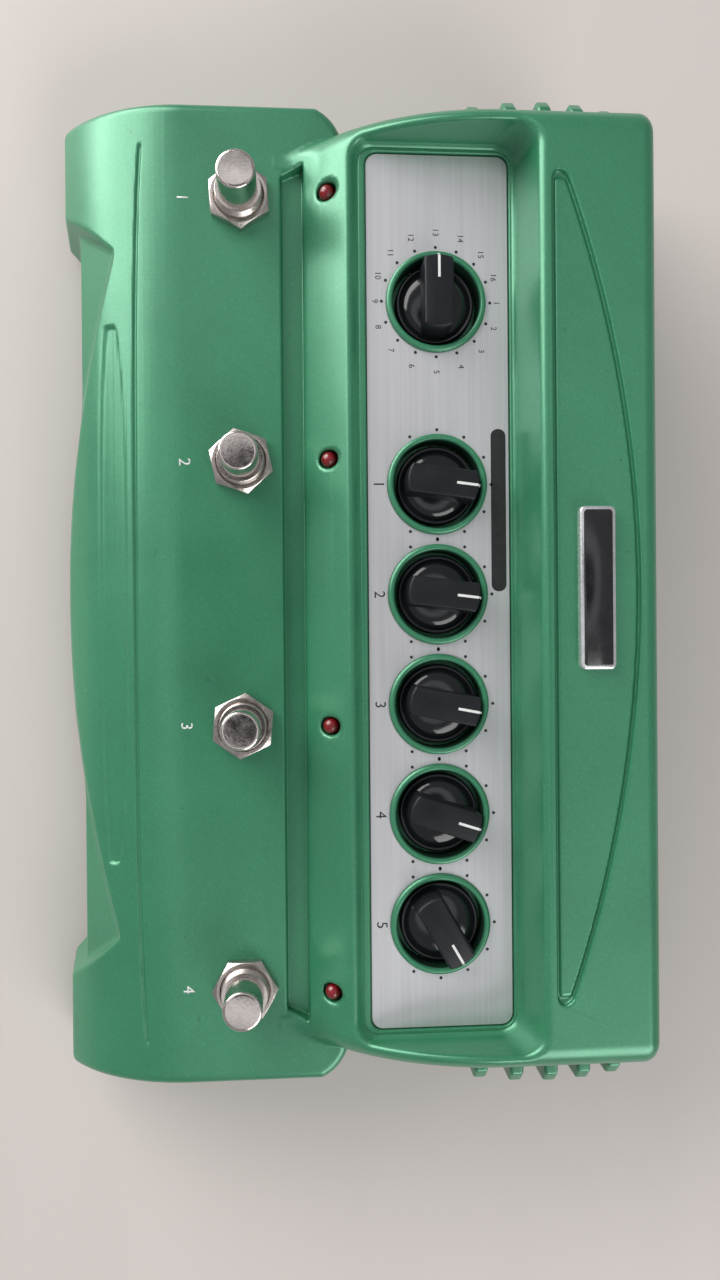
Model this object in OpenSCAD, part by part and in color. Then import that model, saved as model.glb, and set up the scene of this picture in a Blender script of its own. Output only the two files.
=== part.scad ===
// Floor effect pedal with four footswitches, a stepped selector and five dials.
// Millimetres. +X is the player's right, +Y the rear with the sockets, +Z up.
// The origin is the middle of the footprint on the floor.

/* [Casing] */
// Width of the front block at its lower edge
front_w = 266; // [258:1:286]
// Width of the rear section as a share of the front block's
rear_w_share = 0.93; // [0.924:0.001:0.936]
// Depth of the casing from front edge to rear wall
depth = 159; // [156:1:180]
// Height of the rubber feet under the casing
foot_h = 3; // [2:0.5:6]
// Height of the footswitch deck above the floor
deck_h = 38; // [37:0.5:40]
// Height of the rear deck above the floor
hump_h = 61; // [58:0.5:68]
// Thickness of the casing walls
wall = 3; // [2.4:0.1:3.4]
// Taper of the side walls in degrees
side_draft = 2; // [1:0.5:3]
// Radius of the long upper edges of the rear section
side_edge_r = 7; // [3:0.5:8]
// Radius of the rear upper edge
rear_edge_r = 3.5; // [1:0.5:5]

/* [Front face] */
// Drop from the deck to the bend between the front lip and the curved slope
nose_drop = 17.5; // [17.2:0.1:18.4]
// Radius of that bend
nose_r = 5; // [3:0.5:6]
// Backward lean of the front lip in degrees
lip_lean = 9; // [7:0.1:10]
// Angle at which the slope leaves that bend, in degrees
front_slope = 50; // [46:0.1:50.6]
// Radius of the slope between the bend and the deck
deck_edge_r = 44.5; // [38:0.5:45.5]
// Depth of the cut-back between the two corner blocks
inset_d = 3.9; // [1:0.1:5]
// Drop from the deck to the top of the cut-back
inset_drop = 4.5; // [4:0.1:6]
// Distance of the cut-back's own bend behind the front bend
inset_bend = 4.7; // [3.5:0.1:5.5]
// Depth of the cut-back at its top, measured level
inset_top_d = 2; // [1:0.1:2.4]
// Width of a corner block at the bend
corner_low = 26; // [24:0.5:30]
// Width of a corner block at its top
corner_high = 39.8; // [36:0.1:46]
// Radius of the bowed pad in the middle of the front, seen from above
pad_r = 360; // [330:1:400]
// Backward lean of the bowed pad in degrees
pad_lean = 14.3; // [13:0.1:16]
// Reach of the pad's bow beyond the front edge, where the front lip cuts it off
pad_out = 1.3; // [0.8:0.1:1.8]
// Half length of the slim sunk panel on the slope, as a share of the front block's half
front_lens_share = 0.549; // [0.46:0.002:0.56]
// Drop from the deck to the middle of the slim panel
front_lens_drop = 5.5; // [5:0.1:6]
// Height of the slim panel in its middle
front_lens_h = 3.7; // [3:0.1:4.2]
// Depth of the sunk panels on the slope and the rear deck
dee_d = 0.7; // [0.3:0.1:1.2]
// Distance of the styling groove behind the front edge
groove_y = 24.4; // [22:0.1:27]
// Distance of the groove's ends from the casing's sides
groove_in = 12; // [10:1:30]
// Width of the styling groove
groove_w = 0.9; // [0.5:0.1:1.4]

/* [Rear section] */
// Depth of the rear section as a share of the casing's
rear_share = 0.56; // [0.552:0.002:0.57]
// Run of the curved front as a share of the rear section's depth
crest_share = 0.565; // [0.545:0.005:0.6]
// Width of the trench in front of the curved front
trench_w = 6; // [4:0.5:7]
// Depth of the trench
trench_d = 3; // [1.5:0.1:3.4]
// Distance of the trench's ends from the control area's ends
trench_in = 4.9; // [3.6:0.1:16]
// Number of fins on each side
rib_count = 5; // [3:1:5]
// Pitch of the fins
rib_pitch = 9.2; // [8:0.1:9.6]
// Thickness of a fin
rib_t = 3.8; // [2.4:0.1:5]
// Height of the tallest fin above the floor
rib_top = 43.6; // [40:0.1:46]
// Drop of each fin's top by the square of its place from the middle one
rib_drop = 0.8; // [0.5:0.05:1.6]
// Distance of the last fin ahead of the rear wall
rib_end = 5.8; // [5:0.1:8]

/* [Control recess] */
// Distance of the control area from the curved front's foot, as a share of the rear section's depth
recess_y_share = 0.1336; // [0.126:0.001:0.14]
// Depth of the control area as a share of the rear section's
recess_share = 0.528; // [0.52:0.002:0.536]
// Thickness of the rim beside the control area
recess_in = 6.4; // [6:0.1:7]
// Corner radius of the recess
recess_r = 6; // [3:0.5:8]
// Slant of the rear recess wall, as horizontal run from floor to rim
recess_slant = 3.5; // [2:0.1:4]
// Height of the control plate's face above the floor
panel_z = 46; // [45.5:0.1:47]
// Distance of the plate's ends from the control area's ends
plate_in = 2.4; // [2:0.1:3.4]
// Distance of the plate from the control area's rear rim
plate_back = 5.2; // [5:0.1:5.8]
// Thickness of the control plate
plate_t = 0.8; // [0.5:0.1:1.2]
// Corner radius of the control plate
plate_r = 3; // [1:0.5:5]
// Gap round the control plate
plate_gap = 0.4; // [0.2:0.1:0.6]
// Rise of the ledge round the plate above the plate's face
ledge_rise = 0.3; // [0:0.1:0.6]
// Distance of the plate's front edge behind the recess rim
plate_y = 4.4; // [4.2:0.1:4.8]

/* [Dials] */
// Place of the dial row as a share of the plate's depth
dial_share = 0.489; // [0.47:0.002:0.52]
// Place of the selector left of the middle
selector_x = -76.3; // [-80:0.1:-72]
// Place of the first dial left of the middle
dial_x = -28.3; // [-32:0.1:-27]
// Pitch of the dials
dial_pitch = 29; // [28.4:0.1:30]
// Inner radius of a dial well
well_r = 11.6; // [11.2:0.1:12]
// Wall of the collar round a dial well
collar_t = 1.3; // [1:0.1:1.6]
// Rise of the collar above the plate
collar_rise = 1.3; // [0.5:0.1:2]
// Gap between collar and plate
collar_gap = 0.4; // [0.2:0.1:0.5]
// Depth of a dial well below the plate's face
well_d = 6; // [5:0.1:6.4]
// Thickness of a dial well's floor
well_floor = 2.4; // [1.6:0.1:2.6]
// Radius of a knob's round skirt
knob_r = 10.5; // [9:0.1:10.8]
// Height of a knob's skirt
skirt_h = 5; // [3:0.1:6]
// Height of a knob above the plate's face
knob_rise = 6.5; // [5.5:0.1:9]
// Width of a knob's grip bar
bar_w = 8; // [7:0.1:9]
// Reach of the grip bar on the pointer side
bar_front = 10.4; // [9:0.1:10.4]
// Reach of the grip bar on the other side
bar_back = 8.7; // [8:0.1:9.4]
// Radius of a dial shaft
shaft_r = 3; // [2.5:0.1:3.2]
// Running clearance between a shaft and its bush
shaft_gap = 0.05; // [0.02:0.01:0.1]
// Clearance under and round a knob where it turns free
turn_gap = 0.4; // [0.3:0.1:0.8]

/* [Footswitches] */
// Pitch of the footswitches as a share of the front block's width
switch_pitch_share = 0.2658; // [0.26:0.0002:0.2672]
// Place of the footswitch row as a share of the front deck's depth
switch_share = 0.7545; // [0.74:0.002:0.764]
// Outer radius of a threaded bush
bush_r = 6; // [5.5:0.1:6.5]
// Wall of a threaded bush
bush_t = 0.9; // [0.7:0.1:1.2]
// Rise of a bush above the deck
bush_rise = 6; // [4.5:0.1:7]
// Width across the flats of a footswitch nut
nut_af = 15.4; // [14.5:0.1:17]
// Height of a footswitch nut
nut_h = 2.8; // [2:0.1:3.5]
// Height of a button's top above the deck
button_rise = 16.4; // [14:0.1:18]
// Travel of a button
button_travel = 3; // [2:0.1:3.4]
// Width of a switch housing
housing_w = 16.6; // [16:0.1:17.2]
// Sliding clearance between button and bush
button_gap = 0.05; // [0.02:0.01:0.1]

/* [Indicators] */
// Distance of the lamps behind the foot of the curved front
lamp_y = 6.2; // [5:0.1:7]
// Lean of the lamps towards the player in degrees
lamp_lean = 38; // [30:1:44]
// Radius of a lamp's round body
lamp_r = 2.5; // [2:0.1:2.6]
// Length of a lamp's round body
lamp_len = 8.6; // [8:0.1:9.4]
// Depth of the lamp's tip below the casing's face
lamp_sink = 0.8; // [0.4:0.1:1.2]
// Radius of the countersink at a lamp
lamp_sink_r = 3.6; // [3.2:0.1:4.2]

/* [Badge] */
// Length of the bare badge plate
badge_w = 40.8; // [30:0.2:60]
// Depth of the bare badge plate
badge_d = 9.1; // [7:0.1:11]
// Height of the badge plate
badge_h = 2.5; // [1.5:0.1:3.5]
// Distance of the badge's middle ahead of the rear wall
badge_y = 16.7; // [14:0.1:19]

/* [Sockets] */
// Number of phone sockets
jack_count = 5; // [3:1:5]
// Room between the last phone socket and the power inlet
jack_room = 40; // [36:0.5:50]
// Distance of the first phone socket from the casing's inner side
jack_in = 30; // [28:0.5:34]
// Bore radius of a phone socket
jack_bore_r = 3.25; // [3.2:0.01:3.3]
// Outer radius of a phone socket's threaded neck
jack_neck_r = 4.6; // [4.2:0.1:5]
// Width of a phone socket's body
jack_body_w = 16; // [14:0.5:18]
// Depth of a phone socket's body
jack_body_d = 22; // [20:0.5:24]
// Width across the flats of a phone socket's nut
jack_nut_af = 13; // [12:0.1:14]
// Height of a phone socket's nut
jack_nut_h = 2; // [1.5:0.1:2.6]
// Reach of a phone socket's neck beyond the rear wall
jack_proud = 3; // [3:0.1:4]
// Distance of the power inlet from the casing's inner side
inlet_in = 26; // [24.5:0.5:28]
// Bore radius of the power inlet
inlet_bore_r = 2.75; // [2.5:0.05:3]
// Radius of the power inlet's centre pin
inlet_pin_r = 1.05; // [0.9:0.05:1.3]

/* [Base and boards] */
// Thickness of the base plate
base_t = 1.5; // [1:0.1:2]
// Gap between base plate and casing
base_gap = 0.3; // [0.2:0.1:0.5]
// Radius of a rubber foot
foot_r = 8; // [5:0.5:9]
// Thickness of the circuit boards
board_t = 1.6; // [1:0.1:2]
// Height of the lower boards' upper face above the floor
board_z = 13.6; // [12.4:0.1:14]
// Distance of the main board from the casing's inner sides
main_in = 16; // [14:0.5:18]
// Distance of the control board from the control area's ends
control_in = 2.5; // [1.5:0.5:4.5]
// Height of a dial's housing on the control board
pot_h = 7; // [6:0.1:8]
// Radius of a dial's housing
pot_r = 8.5; // [7:0.1:9.5]
// Radius of a screw's shank
screw_r = 1.5; // [1.2:0.1:1.8]
// Radius of a screw's head
screw_head_r = 3; // [2.6:0.1:3.4]
// Height of a screw's head
screw_head_h = 1.8; // [1.2:0.1:2.2]
// Clearance of a screw in its hole
screw_gap = 0.05; // [0.02:0.01:0.1]
// Radius of a screw boss
boss_r = 4; // [3.4:0.1:4.4]

/* [Hidden] */
$fn = 64;

paint = "#5fae86";
steel = "#b9b4b2";
black = "#1c1d20";
board_green = "#2d6b3f";
pot_blue = "#4a6fa5";
cable_grey = "#c9c9c2";
over = 1;
// Gap between a bush or neck and its hole in the casing
fit_gap = 0.15;
// Lengths of thread in the bosses, the posts and the standoffs
base_bite = 8;
post_bite = 7;
standoff_bite = 4;

// Front and rear of the casing, with the sockets' necks inside the footprint
y_front = -(depth + jack_proud) / 2;
y_back = y_front + depth;
rear_d = depth * rear_share;
rear_w = front_w * rear_w_share;
y_foot = y_back - rear_d;
front_half = front_w / 2;
inset_half_low = front_half - corner_low;
inset_half_high = front_half - corner_high;
front_lens_half = front_half * front_lens_share;
groove_half = front_half - groove_in;
crest_run = rear_d * crest_share;
recess_d = rear_d * recess_share;
recess_w = rear_w - 2 * recess_in;
plate_w = recess_w - 2 * plate_in;
plate_d = recess_d - plate_y - plate_back;
trench_half = recess_w / 2 - trench_in;
switch_pitch = front_w * switch_pitch_share;
rear_half = rear_w / 2;
nose_h = deck_h - nose_drop;
nose_y = y_front + (nose_h - foot_h) * tan(lip_lean);
front_corner_y = nose_y + (deck_h - nose_h) / tan(front_slope);
deck_arc_y = front_corner_y + deck_edge_r * tan(front_slope / 2);
inset_top = deck_h - inset_drop;
inset_top_y = deck_arc_y - sqrt(pow(deck_edge_r, 2) - pow(deck_edge_r - inset_drop, 2));
inset_rear = inset_top_y + inset_top_d;
groove_at = y_front + groove_y;
groove_z = deck_h - deck_edge_r + sqrt(deck_edge_r * deck_edge_r - pow(groove_at - deck_arc_y, 2));
front_block_rear = y_foot + 11;
front_block_r = 13;
crest_h = hump_h - deck_h;
crest_r = (crest_run * crest_run + crest_h * crest_h) / (2 * crest_h);
crest_y = y_foot + crest_run;
crest_z = hump_h - crest_r;
switch_row = y_front + (depth - rear_d) * switch_share;
recess_front = y_foot + rear_d * recess_y_share;
recess_rear = recess_front + recess_d;
plate_front = recess_front + plate_y;
plate_mid = plate_front + plate_d / 2;
dial_row = plate_front + plate_d * dial_share;
floor_z = panel_z - plate_t;
floor_under = floor_z - wall;
ledge_z = panel_z + ledge_rise;
well_z = panel_z - well_d;
collar_r = well_r + collar_t;
cup_wall = 2.4;
cup_r = well_r + cup_wall;
front_taper = (deck_h - foot_h) * tan(side_draft);
rear_taper = (hump_h - foot_h) * tan(side_draft);

// Inner outline of the casing, seen from above
inner_front = y_front + inset_d + wall * 1.15;
inner_front_half = front_half - wall - front_taper;
inner_rear_half = rear_half - wall - rear_taper;
inner_back = y_back - wall;
inner_step = y_foot + wall;
control_half = recess_w / 2 - control_in;
main_half = inner_rear_half - main_in;
main_front = y_foot + 1;
main_d = inner_back - 2 * wall - main_front;
inlet_x = inner_rear_half - inlet_in;
jack_x = jack_in - inner_rear_half;
jack_pitch = (inlet_x - jack_room - jack_x) / (jack_count - 1);
deck_under = deck_h - wall;
trench_under = deck_h - trench_d - wall;

// Heights inside
base_top = foot_h + base_t;
pot_bush_h = 2;
pot_bush_t = 1.4;
bore_seat = 1;
shaft_seat = bore_seat + 0.2;
control_top = well_z - well_floor - turn_gap - pot_bush_h - pot_h;
control_under = control_top - board_t;
board_under = board_z - board_t;
jack_z = board_z + jack_body_w / 2;
jack_lead = 0.6;
jack_step = 0.5;
inlet_w = 14;
inlet_d = 13;
inlet_h = 12;
inlet_bore_d = 10;
inlet_z = board_z + inlet_h / 2;
inlet_neck_r = inlet_bore_r + 1.8;
washer_t = 0.6;
spigot_r = 2;
standoff_r = 3.2;
plug_h = 4;
plug_w = 6;
plug_half = 22;
chamber_z = board_z + 2.4;
chamber_top = deck_under - 3;
chamber_r = housing_w / 2 - 1.3;
flange_h = 2.4;
shaft_top = panel_z + knob_rise - 4;
lead_r = 0.3;
lead_pitch = 2.54;
lead_y = y_foot + lamp_y + (lamp_sink + lamp_len) * sin(lamp_lean);
lead_z = crest_surface(y_foot + lamp_y) - (lamp_sink + lamp_len) * cos(lamp_lean);
switch_xs = [for (i = [-1.5 : 1 : 1.5]) i * switch_pitch];
dial_xs = [for (i = [0 : 4]) dial_x + i * dial_pitch];
knob_xs = concat([selector_x], dial_xs);
// Rest angles of the dials, clockwise from straight back
dial_angles = [7, 7, 11, 18, 60];
jack_xs = [for (i = [0 : jack_count - 1]) jack_x + i * jack_pitch];
base_boss_at = [
    for (s = [-1, 1]) [s * (inner_front_half - boss_r - 2), inner_front + boss_r + 6],
    for (s = [-1, 1]) [s * (inner_front_half - boss_r - 2), y_foot - 4],
    for (s = [-1, 1]) [s * (inner_rear_half - boss_r - 1.5), inner_back - boss_r - 2]
];
control_post_at = [
    for (s = [-1, 1]) [s * (control_half - boss_r), plate_front + boss_r],
    for (s = [-1, 1]) [s * (control_half - boss_r), plate_front + plate_d - boss_r],
    for (x = [(selector_x + dial_x) / 2, dial_x + 2.5 * dial_pitch])
        [x, plate_front + plate_d - boss_r + 1]
];
standoff_at = [
    for (s = [-1, 1], y = [y_foot + 6, inner_back - jack_body_d - 8])
        [s * (main_half - 5), y]
];
foot_at = [
    for (s = [-1, 1]) [s * (inner_front_half - 20), inner_front + 16],
    for (s = [-1, 1]) [s * (inner_rear_half - 20), inner_back - 14]
];

function on_circle(c, r, a) = c + r * [cos(a), sin(a)];
function arc(c, r, a0, a1, n) = [for (i = [0 : n]) on_circle(c, r, a0 + (a1 - a0) * i / n)];
function crest_surface(y) = crest_z + sqrt(crest_r * crest_r - pow(y - crest_y, 2));

// Draws a side outline given as rear and up, drawn out along X
module along_x(w) {
    rotate([90, 0, 90]) linear_extrude(height = w, center = true) children();
}

// Draws a front outline given as right and up, drawn out along Y
module along_y(y0, y1) {
    translate([0, y1, 0]) rotate([90, 0, 0]) linear_extrude(height = y1 - y0) children();
}

module rounded_rect(w, d, r) {
    square([w - 2 * r, d], center = true);
    square([w, d - 2 * r], center = true);
    for (x = [-1, 1], y = [-1, 1]) {
        translate([x * (w / 2 - r), y * (d / 2 - r)]) circle(r);
    }
}

// Plan outline of the opening under the casing, drawn in by a gap
module base_outline(gap) {
    translate([-inner_front_half + gap, inner_front + gap])
        square([2 * (inner_front_half - gap), inner_step - inner_front - 2 * gap]);
    translate([-inner_rear_half + gap, inner_front + gap])
        square([2 * (inner_rear_half - gap), inner_back - inner_front - 2 * gap]);
}

// Side outline of the front block: leaning lip, rounded bend, curved slope up to the deck
module front_outline() {
    cut = nose_r * tan((90 - lip_lean - front_slope) / 2);
    bend = [
        nose_y - cut * sin(lip_lean) + nose_r * cos(lip_lean),
        nose_h - cut * cos(lip_lean) - nose_r * sin(lip_lean)
    ];
    polygon(concat(
        [[front_block_rear, foot_h], [y_front, foot_h]],
        arc(bend, nose_r, 180 - lip_lean, 90 + front_slope, 8),
        arc([deck_arc_y, deck_h - deck_edge_r], deck_edge_r, 90 + front_slope, 90, 12),
        [[front_block_rear, deck_h]]
    ));
}

// Plan of the front block with its rounded rear corners
module front_plan() {
    straight = front_block_rear - front_block_r;
    translate([-front_half, y_front - over]) square([front_w, straight - y_front + over]);
    translate([front_block_r - front_half, straight])
        square([front_w - 2 * front_block_r, front_block_r]);
    for (s = [-1, 1]) {
        translate([s * (front_half - front_block_r), straight]) circle(front_block_r);
    }
}

module front_block() {
    top_half = front_half - front_taper;
    intersection() {
        along_x(front_w) front_outline();
        along_y(y_front - over, front_block_rear + over)
            polygon([
                [-front_half, foot_h], [front_half, foot_h],
                [top_half, deck_h], [-top_half, deck_h]
            ]);
        translate([0, 0, foot_h]) linear_extrude(height = deck_h - foot_h) front_plan();
    }
}

// Cut-back between the corner blocks, which leaves the bowed pad standing
module front_inset() {
    low_y = y_front + inset_d;
    pad_y = y_front - pad_out + pad_r / cos(pad_lean);
    run = (inset_top_y - nose_y) * cos(pad_lean) - (inset_top - nose_h) * sin(pad_lean);
    spread = (inset_half_low - inset_half_high) / run;
    ahead = inset_d * 2;
    mouth = inset_half_low + spread * ahead;
    tip = inset_half_high - spread * inset_top_d;
    reach = run + inset_top_d;
    difference() {
        intersection() {
            along_x(front_w) polygon([
                [y_front - over, foot_h - over], [low_y, foot_h - over], [low_y, foot_h],
                [nose_y + inset_bend, nose_h], [inset_rear, inset_top], [y_front - over, inset_top]
            ]);
            translate([0, nose_y, nose_h]) rotate([-pad_lean, 0, 0])
                linear_extrude(height = 3 * deck_h, center = true) polygon([
                    [-mouth, -ahead], [mouth, -ahead], [tip, reach], [-tip, reach]
                ]);
        }
        translate([0, pad_y, foot_h]) rotate([-pad_lean, 0, 0])
            cylinder(r = pad_r, h = 4 * depth, center = true, $fn = 256);
    }
}

// Slim sunk panel on the slope, bowed above and below, with blunt ends
module front_lens() {
    blunt = 1.3;
    rise = front_lens_h / 2;
    lens_r = (pow(front_lens_half * blunt, 2) + rise * rise) / (2 * rise);
    mid = deck_h - front_lens_drop;
    tilt = front_slope * 0.7;
    difference() {
        along_y(y_front - over, deck_arc_y) intersection() {
            translate([0, mid - rise + lens_r]) circle(lens_r, $fn = 256);
            translate([0, mid + rise - lens_r]) circle(lens_r, $fn = 256);
            translate([-front_lens_half, mid - front_lens_h])
                square([2 * front_lens_half, 2 * front_lens_h]);
        }
        translate([0, dee_d * sin(tilt), -dee_d * cos(tilt)]) along_x(front_w) front_outline();
    }
}

// Side outline of the rear section: curved front, level rear deck, rounded rear edge
module rear_outline() {
    tail = 3;
    lead = asin((crest_run + tail) / crest_r);
    polygon(concat(
        [[y_foot - tail, foot_h]],
        arc([crest_y, crest_z], crest_r, 90 + lead, 90, 24),
        arc([y_back - rear_edge_r, hump_h - rear_edge_r], rear_edge_r, 90, 0, 6),
        [[y_back, foot_h]]
    ));
}

// Front view of the rear section with its rounded upper edges
module rear_section_outline() {
    reach = side_edge_r * tan(45 - side_draft / 2);
    mid_x = rear_half - rear_taper - reach;
    mid_z = hump_h - side_edge_r;
    polygon(concat(
        [[-rear_half, foot_h], [rear_half, foot_h]],
        arc([mid_x, mid_z], side_edge_r, side_draft, 90, 8),
        arc([-mid_x, mid_z], side_edge_r, 90, 180 - side_draft, 8)
    ));
}

module rear_section() {
    corner_r = 5;
    intersection() {
        along_x(rear_w) rear_outline();
        along_y(y_foot - 2 * trench_w, y_back + over) rear_section_outline();
        translate([0, y_back - depth / 2, foot_h])
            linear_extrude(height = hump_h - foot_h) rounded_rect(rear_w, depth, corner_r);
    }
}

// Fins on both sides of the rear section, level with the front block's sides
module ribs() {
    root = rear_half - rear_taper - wall / 2;
    bevel = 3;
    mid = (rib_count - 1) / 2;
    for (i = [0 : rib_count - 1], s = [0, 1]) {
        top = rib_top - rib_drop * pow(i - mid, 2);
        y = y_back - rib_end - (rib_count - 1 - i) * rib_pitch;
        mirror([s, 0, 0]) along_y(y - rib_t / 2, y + rib_t / 2) polygon([
            [root, foot_h], [front_half, foot_h], [front_half, top - bevel],
            [front_half - bevel, top], [root, top]
        ]);
    }
}

module outer_form() {
    difference() {
        front_block();
        front_inset();
        front_lens();
    }
    rear_section();
    ribs();
}

// Sunken control area with its ledge and the plate's pocket
module control_recess() {
    rim = crest_surface(recess_front);
    front_run = 1.5;
    lap = 0.6;
    rise = recess_slant / (hump_h - ledge_z);
    intersection() {
        along_x(recess_w) polygon([
            [recess_front, hump_h + over], [recess_front, rim], [recess_front + front_run, ledge_z],
            [recess_rear - recess_slant, ledge_z], [recess_rear + rise * over, hump_h + over]
        ]);
        translate([0, recess_front + (recess_d + lap) / 2, floor_z]) linear_extrude(height = hump_h)
            rounded_rect(recess_w, recess_d + lap, recess_r);
    }
    translate([0, plate_mid, floor_z]) linear_extrude(height = ledge_z - floor_z + over)
        rounded_rect(plate_w + 2 * plate_gap, plate_d + 2 * plate_gap, plate_r + plate_gap);
}

// Trench with slanting ends at the foot of the curved front
module trench() {
    flare = 2.8;
    translate([0, y_foot, deck_h - trench_d]) linear_extrude(height = trench_d + over) polygon([
        [-trench_half, -trench_w], [trench_half, -trench_w],
        [trench_half + flare, 0], [-trench_half - flare, 0]
    ]);
}

// Sunk D on the rear deck: straight ahead, bowed behind
module rear_dee() {
    end_in = 12.5;
    front_in = 3;
    back_in = 5.2;
    dee_half = recess_w / 2 - end_in;
    dee_front = recess_rear + front_in;
    dee_back = y_back - back_in;
    bow = dee_back - dee_front;
    dee_r = (dee_half * dee_half + bow * bow) / (2 * bow);
    translate([0, 0, hump_h - dee_d]) linear_extrude(height = dee_d + over) intersection() {
        translate([0, dee_back - dee_r]) circle(dee_r, $fn = 256);
        translate([-dee_half, dee_front]) square([2 * dee_half, bow]);
    }
}

module at_knobs() {
    for (x = knob_xs) {
        translate([x, dial_row, 0]) children();
    }
}

module at_switches() {
    for (x = switch_xs) {
        translate([x, switch_row, 0]) children();
    }
}

// Places lamps square to the curved front, level with their footswitches
module at_lamps() {
    y = y_foot + lamp_y;
    for (x = switch_xs) {
        translate([x, y, crest_surface(y)]) rotate([lamp_lean, 0, 0]) children();
    }
}

module at_jacks() {
    for (x = jack_xs) {
        translate([x, 0, jack_z]) children();
    }
}

// Draws a round bar or hole from one Y to another
module round_y(r, y0, y1) {
    translate([0, y1, 0]) rotate([90, 0, 0]) cylinder(r = r, h = y1 - y0);
}

module screw_hole(len) {
    cylinder(r = screw_r + screw_gap, h = len);
}

// Room inside the casing, less what stands in it
module hollow() {
    lamp_shelf = deck_under + 1;
    bed_front = max(y_foot - trench_w - wall, switch_row + housing_w / 2 + turn_gap);
    difference() {
        intersection() {
            along_x(2 * inner_front_half) polygon([
                [inner_front, foot_h - over], [inner_front, base_top + base_gap],
                [inset_rear + wall / 4, inset_top - wall * 1.25],
                [deck_arc_y, deck_under],
                [bed_front, deck_under], [bed_front, trench_under],
                [y_foot + wall, trench_under], [y_foot + wall, lamp_shelf], [recess_front, floor_under],
                [recess_rear - recess_slant + wall, floor_under], [recess_rear + wall, hump_h - wall],
                [inner_back, hump_h - wall], [inner_back, foot_h - over]
            ]);
            translate([0, 0, foot_h - over]) linear_extrude(height = hump_h) base_outline(0);
        }
        for (p = base_boss_at) {
            translate([p.x, p.y, base_top]) cylinder(r = boss_r, h = hump_h);
        }
        for (p = control_post_at) {
            translate([p.x, p.y, control_top]) cylinder(r = boss_r, h = hump_h - control_top);
        }
        at_knobs() translate([0, 0, well_z - well_floor]) cylinder(r = cup_r, h = well_d + well_floor);
    }
}

module casing() {
    pilot = base_bite + over;
    lamp_hole = lamp_r + 0.1;
    color(paint) difference() {
        union() {
            difference() {
                outer_form();
                control_recess();
                trench();
                rear_dee();
                hollow();
            }
            at_knobs() translate([0, 0, floor_under])
                cylinder(r = collar_r, h = panel_z + collar_rise - floor_under);
        }
        translate([-groove_half, groove_at, groove_z - groove_w])
            cube([2 * groove_half, groove_w, groove_w * 3]);
        at_knobs() translate([0, 0, well_z]) cylinder(r = well_r, h = hump_h);
        at_knobs() cylinder(r = shaft_r + turn_gap, h = hump_h);
        at_switches() translate([0, 0, deck_under - over])
            cylinder(r = bush_r + fit_gap, h = wall + 2 * over);
        at_lamps() translate([0, 0, -lamp_len - over]) cylinder(r = lamp_hole, h = lamp_len + 3 * over);
        at_lamps() translate([0, 0, -1.2]) cylinder(r1 = lamp_hole, r2 = lamp_sink_r + 0.4, h = 1.8);
        at_jacks() round_y(jack_neck_r + fit_gap, inner_back - over, y_back + over);
        translate([inlet_x, 0, inlet_z])
            round_y(inlet_neck_r + fit_gap, inner_back - over, y_back + over);
        for (p = base_boss_at) {
            translate([p.x, p.y, base_top - over]) screw_hole(pilot + over);
        }
        for (p = control_post_at) {
            translate([p.x, p.y, control_top - over]) screw_hole(pilot + over);
        }
    }
}

module base_plate() {
    color(steel) translate([0, 0, foot_h]) difference() {
        linear_extrude(height = base_t) base_outline(base_gap);
        for (p = base_boss_at) {
            translate([p.x, p.y, -over]) screw_hole(base_t + 2 * over);
        }
        for (p = standoff_at) {
            translate([p.x, p.y, -over]) cylinder(r = spigot_r + screw_gap, h = base_t + 2 * over);
        }
    }
}

// Pan-head screw whose head lies below zero and whose shank points up
module screw(len) {
    cylinder(r = screw_r, h = len);
    translate([0, 0, -screw_head_h]) cylinder(r = screw_head_r, h = screw_head_h);
}

module base_screws() {
    color(steel) for (p = base_boss_at) {
        translate([p.x, p.y, foot_h]) screw(base_t + base_bite);
    }
}

module rubber_feet() {
    color(black) for (p = foot_at) {
        translate([p.x, p.y, 0]) cylinder(r = foot_r, h = foot_h);
    }
}

module control_plate() {
    color("#c9c8cc") translate([0, 0, floor_z]) difference() {
        translate([0, plate_mid]) linear_extrude(height = plate_t)
            rounded_rect(plate_w, plate_d, plate_r);
        at_knobs() translate([0, 0, -over]) cylinder(r = collar_r + collar_gap, h = plate_t + 2 * over);
    }
}

module badge_plate() {
    corner_r = 1.2;
    color(black) translate([0, y_back - badge_y, hump_h - dee_d])
        linear_extrude(height = badge_h) rounded_rect(badge_w, badge_d, corner_r);
}

// Half of a grip bar, from the axis out to its rounded end
module half_bar(reach) {
    intersection() {
        circle(reach);
        translate([-bar_w / 2, 0]) square([bar_w, reach]);
    }
}

// Knob with a round skirt and a grip bar, turned clockwise by an angle
module knob(x, angle) {
    skirt_z = well_z + turn_gap;
    top = panel_z + knob_rise;
    color(black) translate([x, dial_row, 0]) rotate([0, 0, -angle]) difference() {
        union() {
            translate([0, 0, skirt_z]) cylinder(r = knob_r, h = skirt_h);
            translate([0, 0, skirt_z]) linear_extrude(height = top - skirt_z) {
                half_bar(bar_front);
                mirror([0, 1]) half_bar(bar_back);
            }
        }
        translate([0, 0, skirt_z - over]) cylinder(r = shaft_r, h = shaft_top - skirt_z + over);
    }
}

module shaft(x) {
    color(steel) translate([x, dial_row, control_top + shaft_seat])
        cylinder(r = shaft_r, h = shaft_top - control_top - shaft_seat);
}

module selector_knob() {
    knob(selector_x, -90);
}

module dial_knob(i) {
    knob(dial_xs[i], dial_angles[i]);
}

module selector_shaft() {
    shaft(selector_x);
}

module dial_shaft(i) {
    shaft(dial_xs[i]);
}

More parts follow.
